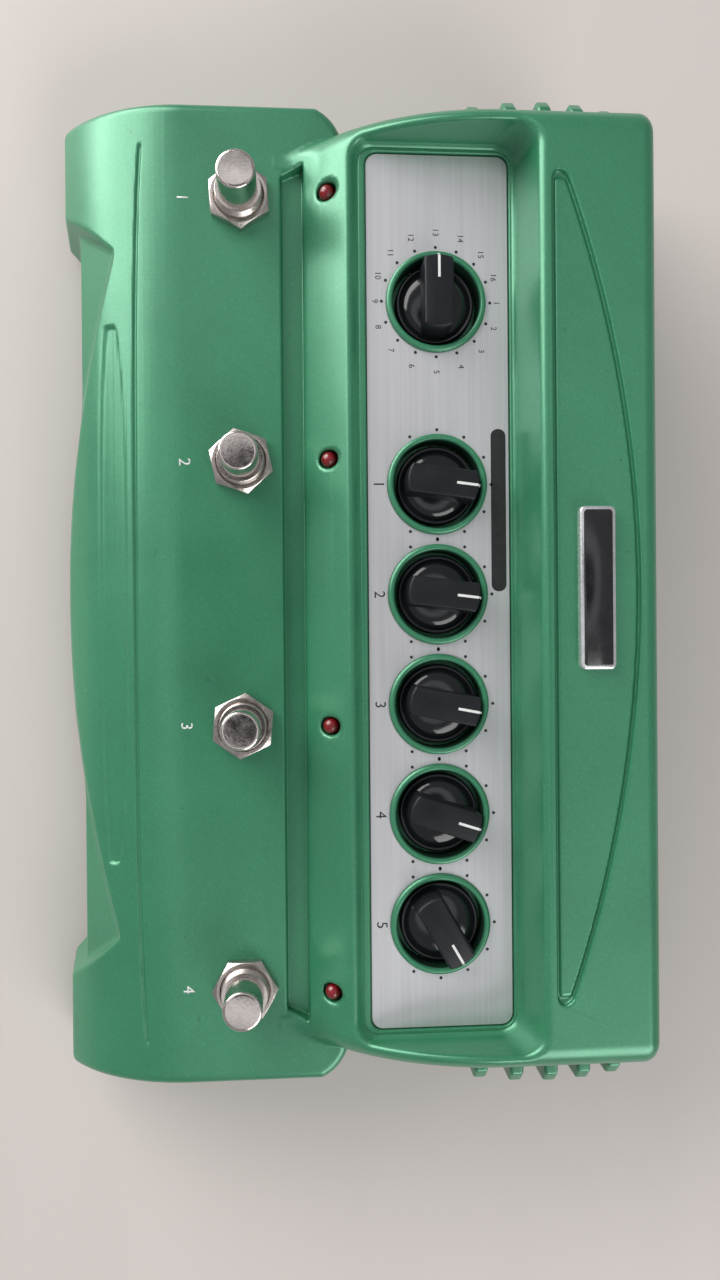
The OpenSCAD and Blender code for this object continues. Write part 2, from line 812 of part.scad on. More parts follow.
// Bush and bore of a dial's housing
module bushed_body(x) {
    translate([x, dial_row, control_top]) difference() {
        union() {
            children();
            cylinder(r = shaft_r + pot_bush_t, h = pot_h + pot_bush_h);
        }
        translate([0, 0, bore_seat]) cylinder(r = shaft_r + shaft_gap, h = pot_h + pot_bush_h);
    }
}

module selector_encoder() {
    color(pot_blue) bushed_body(selector_x)
        translate([-pot_r, -pot_r, 0]) cube([2 * pot_r, 2 * pot_r, pot_h]);
}

module dial_pots() {
    color(pot_blue) for (x = dial_xs) {
        bushed_body(x) cylinder(r = pot_r, h = pot_h);
    }
}

module control_board() {
    color(board_green) difference() {
        translate([-control_half, lead_y - 4, control_under])
            cube([2 * control_half, plate_front + plate_d + 1 - lead_y + 4, board_t]);
        for (p = control_post_at) {
            translate([p.x, p.y, control_under - over]) screw_hole(board_t + 2 * over);
        }
        at_leads() cylinder(r = lead_r + screw_gap, h = hump_h);
    }
}

module control_board_screws() {
    color(steel) for (p = control_post_at) {
        translate([p.x, p.y, control_under]) screw(board_t + post_bite);
    }
}

// Places the two wire leads of each lamp
module at_leads() {
    for (x = switch_xs, s = [-1, 1]) {
        translate([x + s * lead_pitch / 2, lead_y, 0]) children();
    }
}

// Round-topped lamps with a flange and two leads down to the control board
module indicator_lamps() {
    tip = lamp_sink + lamp_r;
    lead_end = control_under - 1;
    color("#8c1420") {
        at_lamps() {
            translate([0, 0, -tip]) sphere(lamp_r);
            translate([0, 0, -lamp_sink - lamp_len]) cylinder(r = lamp_r, h = lamp_len - lamp_r);
            translate([0, 0, -lamp_sink - lamp_len]) cylinder(r = lamp_r + 0.4, h = 1);
        }
        at_leads() translate([0, 0, lead_end]) cylinder(r = lead_r, h = lead_z + lead_r - lead_end);
    }
}

module footswitch_button(i) {
    stem_r = bush_r - bush_t - button_gap;
    flange_z = chamber_top - turn_gap - flange_h;
    bevel = 0.5;
    stem_h = button_travel + 2;
    color(steel) translate([switch_xs[i], switch_row, 0]) {
        translate([0, 0, flange_z]) cylinder(r = stem_r, h = deck_h + button_rise - bevel - flange_z);
        translate([0, 0, deck_h + button_rise - bevel])
            cylinder(r1 = stem_r, r2 = stem_r - bevel, h = bevel);
        translate([0, 0, flange_z]) cylinder(r = chamber_r - turn_gap, h = flange_h);
        translate([0, 0, flange_z - stem_h]) cylinder(r = shaft_r, h = stem_h);
    }
}

// Return spring between the button's flange and the switch's base
module footswitch_spring(i) {
    color("#9a9a9a") translate([switch_xs[i], switch_row, chamber_z]) difference() {
        cylinder(r = chamber_r - 2 * turn_gap, h = chamber_top - turn_gap - flange_h - chamber_z);
        translate([0, 0, -over]) cylinder(r = shaft_r + 1, h = hump_h);
    }
}

module footswitch_housings() {
    color("#3a6ea8") at_switches() difference() {
        union() {
            translate([-housing_w / 2, -housing_w / 2, chamber_z])
                cube([housing_w, housing_w, deck_under - chamber_z]);
            translate([0, 0, deck_under - over]) cylinder(r = bush_r, h = wall + bush_rise + over);
        }
        cylinder(r = bush_r - bush_t, h = hump_h);
        cylinder(r = chamber_r, h = chamber_top);
    }
}

module footswitch_bases() {
    color(black) at_switches() translate([-housing_w / 2, -housing_w / 2, board_z])
        cube([housing_w, housing_w, chamber_z - board_z]);
}

// Six-sided nuts, each left at its own angle
module footswitch_nuts() {
    turns = [0, 12, -8, 30];
    color(steel) for (i = [0 : 3]) {
        translate([switch_xs[i], switch_row, deck_h]) rotate([0, 0, turns[i]]) difference() {
            cylinder(r = nut_af / sqrt(3), h = nut_h, $fn = 6);
            translate([0, 0, -over]) cylinder(r = bush_r + screw_gap, h = nut_h + 2 * over);
        }
    }
}

module switch_board() {
    half = 1.5 * switch_pitch + housing_w / 2;
    color(board_green) translate([-half, switch_row - housing_w / 2, board_under])
        cube([2 * half, housing_w, board_t]);
}

module switch_ribbon() {
    half = plug_half / 2;
    lap = plug_h;
    color(cable_grey) translate([-half, switch_row, board_z])
        cube([2 * half, main_front + lap - switch_row, board_t / 2]);
}

module main_board() {
    color(board_green) difference() {
        translate([-main_half, main_front, board_under]) cube([2 * main_half, main_d, board_t]);
        for (p = standoff_at) {
            translate([p.x, p.y, board_under - over]) screw_hole(board_t + 2 * over);
        }
    }
}

// Chips as places along the board and sizes, both as shares of its half width
module main_board_chips() {
    chips = [[-0.67, 0.21], [-0.35, 0.15], [0.44, 0.17], [0.73, 0.11]];
    color(black) for (c = chips) {
        side = main_half * c.y;
        translate([main_half * c.x - side / 2, main_front + main_d * 0.29 - side / 2, board_z])
            cube([side, side, board_t * 1.25]);
    }
}

module main_board_capacitors() {
    places = [-0.58, -0.44, 0.6, 0.73];
    cap_r = main_half * 0.038;
    color("#27408b") for (x = places) {
        translate([main_half * x, main_front + main_d * 0.54, board_z])
            cylinder(r = cap_r, h = 2.2 * cap_r);
    }
}

module board_standoffs() {
    color("#c8a95a") for (p = standoff_at) {
        translate([p.x, p.y, 0]) difference() {
            union() {
                translate([0, 0, base_top]) cylinder(r = standoff_r, h = board_under - base_top, $fn = 6);
                translate([0, 0, foot_h]) cylinder(r = spigot_r, h = base_t + 0.5);
            }
            translate([0, 0, base_top + 1]) screw_hole(board_under);
        }
    }
}

module board_screws() {
    color(steel) for (p = standoff_at) {
        translate([p.x, p.y, board_z]) mirror([0, 0, 1]) screw(board_t + standoff_bite);
    }
}

// Mating connectors under the control board and on the main board
module board_connectors() {
    color("#e4e0d0") for (z = [board_z, control_under - plug_h]) {
        translate([-plug_half, plate_mid - plug_w / 2, z]) cube([2 * plug_half, plug_w, plug_h]);
    }
}

module ribbon_cable() {
    half = plug_half - plug_w / 3;
    sheet = plug_w / 5;
    color(cable_grey) translate([-half, plate_mid - sheet / 2, board_z + plug_h])
        cube([2 * half, sheet, control_under - board_z - 2 * plug_h]);
}

module jack_sockets() {
    color(black) at_jacks() difference() {
        union() {
            translate([-jack_body_w / 2, inner_back - jack_body_d, board_z - jack_z])
                cube([jack_body_w, jack_body_d, 2 * (jack_z - board_z)]);
            round_y(jack_neck_r, inner_back - over, y_back + jack_proud);
        }
        round_y(jack_bore_r, inner_back - jack_body_d + 2, y_back);
        round_y(jack_bore_r + jack_lead, inner_back - jack_step, y_back + jack_proud + over);
    }
}

module jack_nuts() {
    color(steel) at_jacks() translate([0, y_back + washer_t, 0]) rotate([-90, 0, 0]) difference() {
        cylinder(r = jack_nut_af / sqrt(3), h = jack_nut_h, $fn = 6);
        translate([0, 0, -over]) cylinder(r = jack_neck_r + screw_gap, h = jack_nut_h + 2 * over);
    }
}

module jack_washers() {
    color(steel) at_jacks() difference() {
        round_y(jack_nut_af / 2, y_back, y_back + washer_t);
        round_y(jack_neck_r + screw_gap, y_back - over, y_back + washer_t + over);
    }
}

// Barrel inlet with its centre pin
module power_inlet() {
    color(black) translate([inlet_x, 0, inlet_z]) {
        difference() {
            union() {
                translate([-inlet_w / 2, inner_back - inlet_d, -inlet_h / 2])
                    cube([inlet_w, inlet_d, inlet_h]);
                round_y(inlet_neck_r, inner_back - over, y_back);
            }
            round_y(inlet_bore_r, inner_back - inlet_bore_d, y_back + over);
        }
        round_y(inlet_pin_r, inner_back - inlet_bore_d - over, y_back - over);
    }
}

casing();
base_plate();
base_screws();
rubber_feet();
control_plate();
badge_plate();
selector_knob();
selector_shaft();
dial_knob(0);  // dial_knob_1
dial_knob(1);  // dial_knob_2
dial_knob(2);  // dial_knob_3
dial_knob(3);  // dial_knob_4
dial_knob(4);  // dial_knob_5
dial_shaft(0);  // dial_shaft_1
dial_shaft(1);  // dial_shaft_2
dial_shaft(2);  // dial_shaft_3
dial_shaft(3);  // dial_shaft_4
dial_shaft(4);  // dial_shaft_5
selector_encoder();
dial_pots();
control_board();
control_board_screws();
indicator_lamps();
footswitch_button(0);  // footswitch_button_1
footswitch_button(1);  // footswitch_button_2
footswitch_button(2);  // footswitch_button_3
footswitch_button(3);  // footswitch_button_4
footswitch_spring(0);  // footswitch_spring_1
footswitch_spring(1);  // footswitch_spring_2
footswitch_spring(2);  // footswitch_spring_3
footswitch_spring(3);  // footswitch_spring_4
footswitch_housings();
footswitch_bases();
footswitch_nuts();
switch_board();
switch_ribbon();
main_board();
main_board_chips();
main_board_capacitors();
board_standoffs();
board_screws();
board_connectors();
ribbon_cable();
jack_sockets();
jack_nuts();
jack_washers();
power_inlet();
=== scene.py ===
import math

import bmesh
import bpy
import numpy as np
from mathutils import Matrix, Vector


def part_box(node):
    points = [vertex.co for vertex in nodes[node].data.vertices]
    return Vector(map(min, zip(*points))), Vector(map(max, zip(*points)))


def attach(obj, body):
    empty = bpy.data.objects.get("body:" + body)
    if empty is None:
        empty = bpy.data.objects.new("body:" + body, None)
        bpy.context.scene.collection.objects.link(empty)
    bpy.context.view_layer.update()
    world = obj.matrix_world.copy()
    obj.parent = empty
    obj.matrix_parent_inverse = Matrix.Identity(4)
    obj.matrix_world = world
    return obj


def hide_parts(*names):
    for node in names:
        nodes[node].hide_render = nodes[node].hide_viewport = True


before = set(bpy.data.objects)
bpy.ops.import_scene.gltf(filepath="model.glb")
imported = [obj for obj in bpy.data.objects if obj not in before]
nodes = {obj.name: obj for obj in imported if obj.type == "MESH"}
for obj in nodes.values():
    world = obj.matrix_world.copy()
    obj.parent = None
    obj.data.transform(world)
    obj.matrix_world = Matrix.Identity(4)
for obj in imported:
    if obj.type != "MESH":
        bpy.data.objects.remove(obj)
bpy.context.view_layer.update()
MM = 0.001

# Casing: driving sizes in millimetres, as in the part's source, and the places that follow from them
FRONT_W, DEPTH, REAR_D, SOCKET_PROUD = 266.0, 159.0, 89.04, 3.0
FOOT_H, DECK_H, HUMP_H, WALL = 3.0, 38.0, 61.0, 3.0
DRAFT = math.radians(2.0)
Y_FRONT = -(DEPTH + SOCKET_PROUD) / 2
Y_BACK = Y_FRONT + DEPTH
Y_FOOT = Y_BACK - REAR_D
FRONT_HALF = FRONT_W / 2
REAR_HALF = FRONT_HALF * 0.93
FRONT_TAPER = (DECK_H - FOOT_H) * math.tan(DRAFT)
REAR_TAPER = (HUMP_H - FOOT_H) * math.tan(DRAFT)

# Front block: lip, slope, cut-back, bowed pad, slim panel and engraved line
NOSE_DROP, NOSE_R, EDGE_R = 17.5, 5.0, 44.5
LIP_LEAN, SLOPE = math.radians(9.0), math.radians(50.0)
NOSE_H = DECK_H - NOSE_DROP
NOSE_Y = Y_FRONT + (NOSE_H - FOOT_H) * math.tan(LIP_LEAN)
EDGE_Y = NOSE_Y + NOSE_DROP / math.tan(SLOPE) + EDGE_R * math.tan(SLOPE / 2)
BLOCK_REAR, BLOCK_R = Y_FOOT + 11.0, 13.0
INSET_D, INSET_DROP, INSET_BEND, INSET_EASE = 3.9, 4.5, 4.7, 0.35
INSET_RUN, INSET_RISE = 6.0, 17.43
INSET_LOW, INSET_HIGH = FRONT_HALF - 26.0, FRONT_HALF - 39.8
INSET_TOP = DECK_H - INSET_DROP
INSET_Y = EDGE_Y - math.sqrt(EDGE_R ** 2 - (EDGE_R - INSET_DROP) ** 2)
PAD_R, PAD_LEAN, PAD_OUT = 360.0, math.radians(14.3), 1.3
LENS_HALF, LENS_DROP, LENS_RISE, LENS_THIN, LENS_SINK = 73.0, 5.5, 1.95, 0.6, 0.65
GROOVE_Y, GROOVE_HALF, GROOVE_BOW = Y_FRONT + 24.2, FRONT_HALF - 12.0, 2.1
GROOVE_R, GROOVE_SINK = 0.52, 0.12
CARVED_TO = -44.0

# Rear section: curved front, sweep into the deck, fins, sunken control area and plate
CREST_RUN, CREST_H, SWEEP_R = 50.3076, HUMP_H - DECK_H, 18.0
CREST_R = (CREST_RUN ** 2 + CREST_H ** 2) / (2 * CREST_H)
CREST_Y, CREST_Z = Y_FOOT + CREST_RUN, HUMP_H - CREST_R
SWEEP_FROM, SWEEP_OVER = 108.0, 7.0
FIN_COUNT, FIN_PITCH, FIN_HALF, FIN_END = 5, 9.2, 1.9, 5.8
FIN_TOP, FIN_DROP, FIN_CHAMFER, FIN_FROM = 43.6, 0.8, 3.0, 117
RECESS_F, RECESS_D, RECESS_W = Y_FOOT + 11.8957, 47.0131, 234.58
RECESS_B = RECESS_F + RECESS_D
RECESS_LEAN_F, RECESS_LEAN_B, RECESS_LEAN_X = 1.5, 3.5, 0.012
RECESS_COS_F, RECESS_COS_B, POCKET_OUT, POCKET_R = 0.98, 0.973, 1.8, 3.9
PANEL_Z, PLATE_W, PLATE_D, PLATE_T = 46.0, 229.78, 37.4131, 0.8
PLATE_F = RECESS_F + 4.4
PLATE_MID = PLATE_F + PLATE_D / 2
LEDGE_Z = PANEL_Z + 0.3
TRENCH_HALF, TRENCH_FLARE, TRENCH_W, TRENCH_D = 112.39, 2.8, 6.0, 3.0
DEE_F, DEE_B, DEE_HALF, DEE_SPAN = RECESS_B + 3.0, Y_BACK - 5.2, 104.8, 114.0
DEE_SINK, DEE_LINE_D, DEE_LINE_IN, DEE_LINE_OUT, DEE_LINE_END = 0.7, 1.35, 0.77, 0.07, 102.6

# Knobs, footswitches, lamps and sockets
ROW = PLATE_F + PLATE_D * 0.489
DIAL_FIRST, DIAL_PITCH, SWITCH_PITCH = -28.3, 29.0, 70.7028
DIAL_X = [DIAL_FIRST + DIAL_PITCH * i for i in range(5)]
DIAL_ANGLE = [7, 7, 11, 18, 60]
SELECTOR_X, SELECTOR_ANGLE = -76.3, -90
KNOBS = [("selector", SELECTOR_X, SELECTOR_ANGLE)]
KNOBS += [(f"dial_{i + 1}", DIAL_X[i], DIAL_ANGLE[i]) for i in range(5)]
WELL_R, WELL_Z, WELL_FLOOR, HUB_R = 11.6, 40.0, 2.4, 3.6
COLLAR_SEAT = 0.6
SWITCH_X = [SWITCH_PITCH * k for k in (-1.5, -0.5, 0.5, 1.5)]
SWITCH_Y, SWITCH_R = -28.2152, 6.15
BED_FRONT, BED_T = SWITCH_Y + 8.7, 6.0
LAMP_Y, LAMP_LEAN = Y_FOOT + 6.2, math.radians(38.0)
LAMP_BORE_R, LAMP_BORE_L, LAMP_MOUTH_R, LAMP_MOUTH_D = 2.6, 11.0, 2.45, 4.6
LAMP_RIM_R, LAMP_RIM_LEAN, LAMP_RIM_COS, LAMP_SINK = 3.0, 0.9, 0.74, 2.0
SOCKET_X, SOCKET_PITCH, SOCKET_Z, SOCKET_R = -88.665, 35.3324, 21.6, 4.75
INLET_X, INLET_Z, INLET_R = 92.6646, 19.6, 4.7

# Room inside the casing
INNER_FRONT = Y_FRONT + INSET_D + WALL * 1.15
INNER_BACK = Y_BACK - WALL
INNER_FH = FRONT_HALF - WALL - FRONT_TAPER
INNER_RH = REAR_HALF - WALL - REAR_TAPER
INNER_STEP = Y_FOOT + WALL
CONTROL_TOP = WELL_Z - WELL_FLOOR - 0.4 - 2.0 - 7.0
INNER_LIP_Z, INNER_BEND_Y, INNER_BEND_Z = FOOT_H + 1.8, INSET_Y + 0.75, INSET_TOP - 3.75
INNER_RISE_Z, INNER_CUP_Z, INNER_CUP_B = DECK_H - 2.0, PANEL_Z - PLATE_T - WALL, RECESS_B - 0.5
BOSS_R, BOSS_Z = 4.0, 4.5
BOSSES = [(INNER_FH - BOSS_R - 2.0, INNER_FRONT + BOSS_R + 6.0), (INNER_FH - BOSS_R - 2.0, Y_FOOT - 4.0),
          (INNER_RH - BOSS_R - 1.5, INNER_BACK - BOSS_R - 2.0)]
POST_HALF, POST_F, POST_B = 110.79, PLATE_F + BOSS_R, PLATE_F + PLATE_D - BOSS_R
MIDDLE_POSTS, MIDDLE_Y = (-52.3, 44.2), POST_B + 1.0

# Far ends of outlines that run past the grid, and reach of the grid part that a hole or fin is cut on
FAR, DEEP, BEYOND = 200.0, 20.0, 40.0
FIN_REACH, WELL_REACH, SWITCH_REACH, LAMP_REACH, LAMP_ABOVE = 5, 15, 9, 16, 7
SOCKET_REACH, BACK_REACH, STAND_REACH = 8, 6, 4

# Radii by which the casting's edges are softened
SOFT = {
    "block": 2.4, "inset end": 0.6, "inset top": 0.3, "pad": 0.8, "inset lip": 0.4,
    "lens tip": 0.75, "lens floor": 0.25, "lens lip": 0.35, "groove end": 0.4, "groove lip": 0.1,
    "rear side": 6.5, "rear edge": 4.0, "block to rear": 0.5, "fin": 0.8, "fin root": 0.7,
    "recess back": 6.0, "recess front": 5.0, "recess floor": 2.0, "recess lip": 1.7,
    "trench floor": 0.4, "trench lip": 0.55, "dee tip": 2.0, "dee end": 2.4, "dee floor": 0.2,
    "dee lip": 0.3, "dee island": 0.4, "dee line": 0.1,
}
CORNERS = [(a, b, c) for a in (0, 1) for b in (0, 1) for c in (0, 1)]


def arc(cx, cy, r, a0, a1, n):
    """Points on an arc from one angle to another, in degrees."""
    a = np.radians(np.linspace(a0, a1, n + 1))
    return [(cx + r * math.cos(t), cy + r * math.sin(t)) for t in a]


def crest(y):
    """Height of the curved front of the rear section."""
    return CREST_Z + math.sqrt(CREST_R ** 2 - (y - CREST_Y) ** 2)


def deck_edge_z(y):
    """Height of the rounded edge between slope and deck."""
    return DECK_H - EDGE_R + np.sqrt(EDGE_R ** 2 - (y - EDGE_Y) ** 2)


def polygon_field(points, u, v):
    """Signed distance, negative inside, from a grid of u by v to a closed outline."""
    p = np.asarray(points, float)
    q = np.roll(p, -1, axis=0)
    U, V = np.meshgrid(u, v, indexing="ij")
    best = np.full(U.shape, 1e9)
    inside = np.zeros(U.shape, bool)
    for (ax, ay), (bx, by) in zip(p, q):
        ex, ey = bx - ax, by - ay
        length = ex * ex + ey * ey
        if length < 1e-12:
            continue
        t = np.clip(((U - ax) * ex + (V - ay) * ey) / length, 0, 1)
        best = np.minimum(best, (U - ax - t * ex) ** 2 + (V - ay - t * ey) ** 2)
        if ay != by:
            crosses = ((ay > V) != (by > V)) & (U < (bx - ax) * (V - ay) / (by - ay) + ax)
            inside ^= crosses
    d = np.sqrt(best)
    return np.where(inside, -d, d).astype(np.float32)


def box_field(u, v, w, d, r):
    """Signed distance to a rounded rectangle centred on zero."""
    U, V = np.meshgrid(u, v, indexing="ij")
    a, b = np.abs(U) - w / 2 + r, np.abs(V) - d / 2 + r
    outside = np.hypot(np.maximum(a, 0), np.maximum(b, 0))
    return (outside + np.minimum(np.maximum(a, b), 0) - r).astype(np.float32)


def both(a, b, r):
    """Common part of two solids with their shared edge rounded by r."""
    return np.minimum(np.maximum(a, b), -r) + np.hypot(np.maximum(a + r, 0), np.maximum(b + r, 0))


def either(a, b, r):
    """Two solids together with the corner between them filled by r."""
    return -both(-a, -b, r)


def ease(t):
    """Smooth rise from 0 to 1."""
    t = np.clip(t, 0, 1)
    return t * t * (3 - 2 * t)


def axes(xs, ys, zs):
    """Grid axes shaped so that they spread over one another."""
    return xs[:, None, None], ys[None, :, None], zs[None, None, :]


def drafted(half, X, Z):
    """Signed distance to both sides, which lean in from their half width at the foot."""
    return (np.abs(X) - half + (Z - FOOT_H) * math.tan(DRAFT)) * math.cos(DRAFT)


def around(xs, ys, x, y, reach):
    """Part of the grid within reach of an upright axis, and its distance from that axis."""
    cols, rows = np.abs(xs - x) < reach, np.abs(ys - y) < reach
    gap = np.hypot(xs[cols][:, None] - x, ys[rows][None, :] - y)[:, :, None]
    return np.ix_(cols, rows), gap


def front_points():
    """Side outline of the front block: leaning lip, rounded bend, slope and rounded deck edge."""
    s, lean = math.degrees(SLOPE), math.degrees(LIP_LEAN)
    cut = NOSE_R * math.tan((math.pi / 2 - LIP_LEAN - SLOPE) / 2)
    bend_y = NOSE_Y - cut * math.sin(LIP_LEAN) + NOSE_R * math.cos(LIP_LEAN)
    bend_z = NOSE_H - cut * math.cos(LIP_LEAN) - NOSE_R * math.sin(LIP_LEAN)
    rear_y, lip_y = BLOCK_REAR + 20, Y_FRONT - (DEEP + FOOT_H) * math.tan(LIP_LEAN)
    bend = arc(bend_y, bend_z, NOSE_R, 180 - lean, 90 + s, 12)
    edge = arc(EDGE_Y, DECK_H - EDGE_R, EDGE_R, 90 + s, 90, 24)
    return [(rear_y, -DEEP), (lip_y, -DEEP)] + bend + edge + [(rear_y, DECK_H)]


def carved(block, face, xs, ys, zs):
    """Front block less the cut-back, round the bowed pad, the slim sunk panel and the engraved line."""
    X, Y, Z = axes(xs, ys, zs)
    low_y, top_z = Y_FRONT + INSET_D, NOSE_H + INSET_RISE
    plane = polygon_field([(-FAR, -DEEP), (low_y, -DEEP), (low_y, FOOT_H), (NOSE_Y + INSET_BEND, NOSE_H),
                           (INSET_Y + INSET_RUN, top_z), (-FAR, top_z)], ys, zs)[None] + INSET_EASE
    sin_p, cos_p = math.sin(PAD_LEAN), math.cos(PAD_LEAN)
    spread = (INSET_LOW - INSET_HIGH) / ((INSET_Y - NOSE_Y) * cos_p - (INSET_TOP - NOSE_H) * sin_p)
    back = (Y - NOSE_Y) * cos_p - (Z - NOSE_H) * sin_p
    ends = (np.abs(X) - INSET_LOW + spread * back) / math.hypot(1, spread)
    inset = both(both(plane, ends, SOFT["inset end"]), Z - INSET_TOP, SOFT["inset top"])
    pad_y = Y_FRONT - PAD_OUT + PAD_R / cos_p
    pad = np.hypot(X, (Y - pad_y) * cos_p - (Z - FOOT_H) * sin_p) - PAD_R
    block = both(block, -both(inset, -pad, SOFT["pad"]), SOFT["inset lip"])

    lens_half = LENS_RISE * (1 - LENS_THIN * (X / LENS_HALF) ** 4)
    lens = both(np.abs(Z - (DECK_H - LENS_DROP)) - lens_half, np.abs(X) - LENS_HALF, SOFT["lens tip"])
    sunk = both(lens, -(face + LENS_SINK), SOFT["lens floor"])
    block = both(block, -sunk, SOFT["lens lip"])

    bow = GROOVE_Y + GROOVE_BOW * (xs / GROOVE_HALF) ** 4
    crown = deck_edge_z(bow)[:, None, None] - GROOVE_SINK
    groove = np.hypot(Y - bow[:, None, None], Z - crown) - GROOVE_R
    groove = both(groove, np.abs(X) - GROOVE_HALF, SOFT["groove end"])
    return both(block, -groove, SOFT["groove lip"])


def front_block(xs, ys, zs):
    """Front block, round in plan at its rear corners, with its carved face."""
    X, _, Z = axes(xs, ys, zs)
    face = polygon_field(front_points(), ys, zs)[None, :, :]
    in_x, in_y = FRONT_HALF - BLOCK_R, BLOCK_REAR - BLOCK_R
    plan = polygon_field([(-FRONT_HALF, -FAR), (FRONT_HALF, -FAR)] + arc(in_x, in_y, BLOCK_R, 0, 90, 16)
                         + arc(-in_x, in_y, BLOCK_R, 90, 180, 16), xs, ys)[:, :, None]
    block = both(face, np.maximum(drafted(FRONT_HALF, X, Z), plan), SOFT["block"]).astype(np.float32)
    near = ys < CARVED_TO
    block[:, near] = carved(block[:, near], face[:, near], xs, ys[near], zs)
    return block


def rear_section(xs, ys, zs):
    """Rear section: its curved front meets the trench, and beside that sweeps out into the deck."""
    X, Y, Z = axes(xs, ys, zs)
    start = Y_FOOT - WALL
    behind = [(Y_BACK + BEYOND, HUMP_H), (Y_BACK + BEYOND, -DEEP)]
    curve = [(y, crest(y)) for y in np.linspace(start, CREST_Y, 40)]
    plain = polygon_field([(start, -DEEP)] + curve + behind, ys, zs)[None, :, :]
    hub_y = CREST_Y - math.sqrt((CREST_R + SWEEP_R) ** 2 - (DECK_H + SWEEP_R - CREST_Z) ** 2)
    meet = math.degrees(math.atan2(CREST_Z - DECK_H - SWEEP_R, CREST_Y - hub_y))
    toe = [(hub_y - 2, -DEEP), (hub_y - 2, DECK_H - 1)]
    hollow = arc(hub_y, DECK_H + SWEEP_R, SWEEP_R, -90, meet, 20)
    round_top = arc(CREST_Y, CREST_Z, CREST_R, 180 + meet, 90, 40)[1:]
    swept = polygon_field(toe + hollow + round_top + behind, ys, zs)[None, :, :]
    rear = plain + (swept - plain) * ease((np.abs(X) - SWEEP_FROM) / SWEEP_OVER)
    rear = both(rear, drafted(REAR_HALF, X, Z), SOFT["rear side"]).astype(np.float32)
    return both(rear, Y - Y_BACK, SOFT["rear edge"])


def add_fins(body, xs, ys, zs):
    """Upright fins on both sides, level with the front block's sides."""
    root = REAR_HALF - REAR_TAPER - WALL / 2
    for i in range(FIN_COUNT):
        high = FIN_TOP - FIN_DROP * (i - 2) ** 2
        mid = Y_BACK - FIN_END - (FIN_COUNT - 1 - i) * FIN_PITCH
        rows = np.abs(ys - mid) < FIN_REACH
        outline = [(root, -DEEP), (FRONT_HALF, -DEEP), (FRONT_HALF, high - FIN_CHAMFER),
                   (FRONT_HALF - FIN_CHAMFER, high), (root, high)]
        fin = polygon_field(outline, np.abs(xs), zs)[:, None, :]
        fin = both(fin, np.abs(ys[rows] - mid)[None, :, None] - FIN_HALF, SOFT["fin"])
        for cols in (xs > FIN_FROM, xs < -FIN_FROM):
            part = np.ix_(cols, rows)
            body[part] = either(body[part], fin[cols], SOFT["fin root"])


def sink_controls(body, xs, ys, zs):
    """Casing less the sunken control area, the plate's pocket and the knobs' wells round their hubs."""
    X, Y, Z = axes(xs, ys, zs)
    rim = crest(RECESS_F)
    ahead = (RECESS_F - Y + (rim - Z) * RECESS_LEAN_F / (rim - LEDGE_Z)) * RECESS_COS_F
    behind = (Y - RECESS_B + (HUMP_H - Z) * RECESS_LEAN_B / (HUMP_H - LEDGE_Z)) * RECESS_COS_B
    ends = np.abs(X) - RECESS_W / 2 + (HUMP_H - Z) * RECESS_LEAN_X
    cut = both(both(behind, ends, SOFT["recess back"]), ahead, SOFT["recess front"])
    cut = both(cut, LEDGE_Z - Z, SOFT["recess floor"])
    body = both(body, -cut, SOFT["recess lip"]).astype(np.float32)
    pocket = box_field(xs, ys - PLATE_MID, PLATE_W + POCKET_OUT, PLATE_D + POCKET_OUT, POCKET_R)[:, :, None]
    body = np.maximum(body, -np.maximum(pocket, PANEL_Z - PLATE_T - Z))
    for _, x, _ in KNOBS:
        part, gap = around(xs, ys, x, ROW, WELL_REACH)
        body[part] = np.maximum(body[part], -np.maximum(gap - WELL_R - COLLAR_SEAT, WELL_Z - Z))
        body[part] = np.maximum(body[part], HUB_R - gap)
    return body


def sink_panels(body, xs, ys, zs):
    """Casing less the trench before the rear section and the D on the rear deck with its engraved line."""
    X, Y, Z = axes(xs, ys, zs)
    wide = TRENCH_HALF + TRENCH_FLARE
    trench = polygon_field([(-TRENCH_HALF, Y_FOOT - TRENCH_W), (TRENCH_HALF, Y_FOOT - TRENCH_W),
                            (wide, Y_FOOT), (-wide, Y_FOOT)], xs, ys)[:, :, None]
    body = both(body, -both(trench, DECK_H - TRENCH_D - Z, SOFT["trench floor"]), SOFT["trench lip"])
    depth = DEE_B - DEE_F
    dee_r = (DEE_SPAN ** 2 + depth ** 2) / (2 * depth)
    dee = both(DEE_F - Y, np.hypot(X, Y - DEE_B + dee_r) - dee_r, SOFT["dee tip"])
    dee = both(dee, np.abs(X) - DEE_HALF, SOFT["dee end"])
    body = both(body, -both(dee, HUMP_H - DEE_SINK - Z, SOFT["dee floor"]), SOFT["dee lip"])
    island = both(dee + DEE_LINE_IN, np.abs(X) - DEE_LINE_END, SOFT["dee island"])
    line = both(np.maximum(dee - DEE_LINE_OUT, -island), HUMP_H - DEE_LINE_D - Z, SOFT["dee line"])
    return np.maximum(body, -line).astype(np.float32)


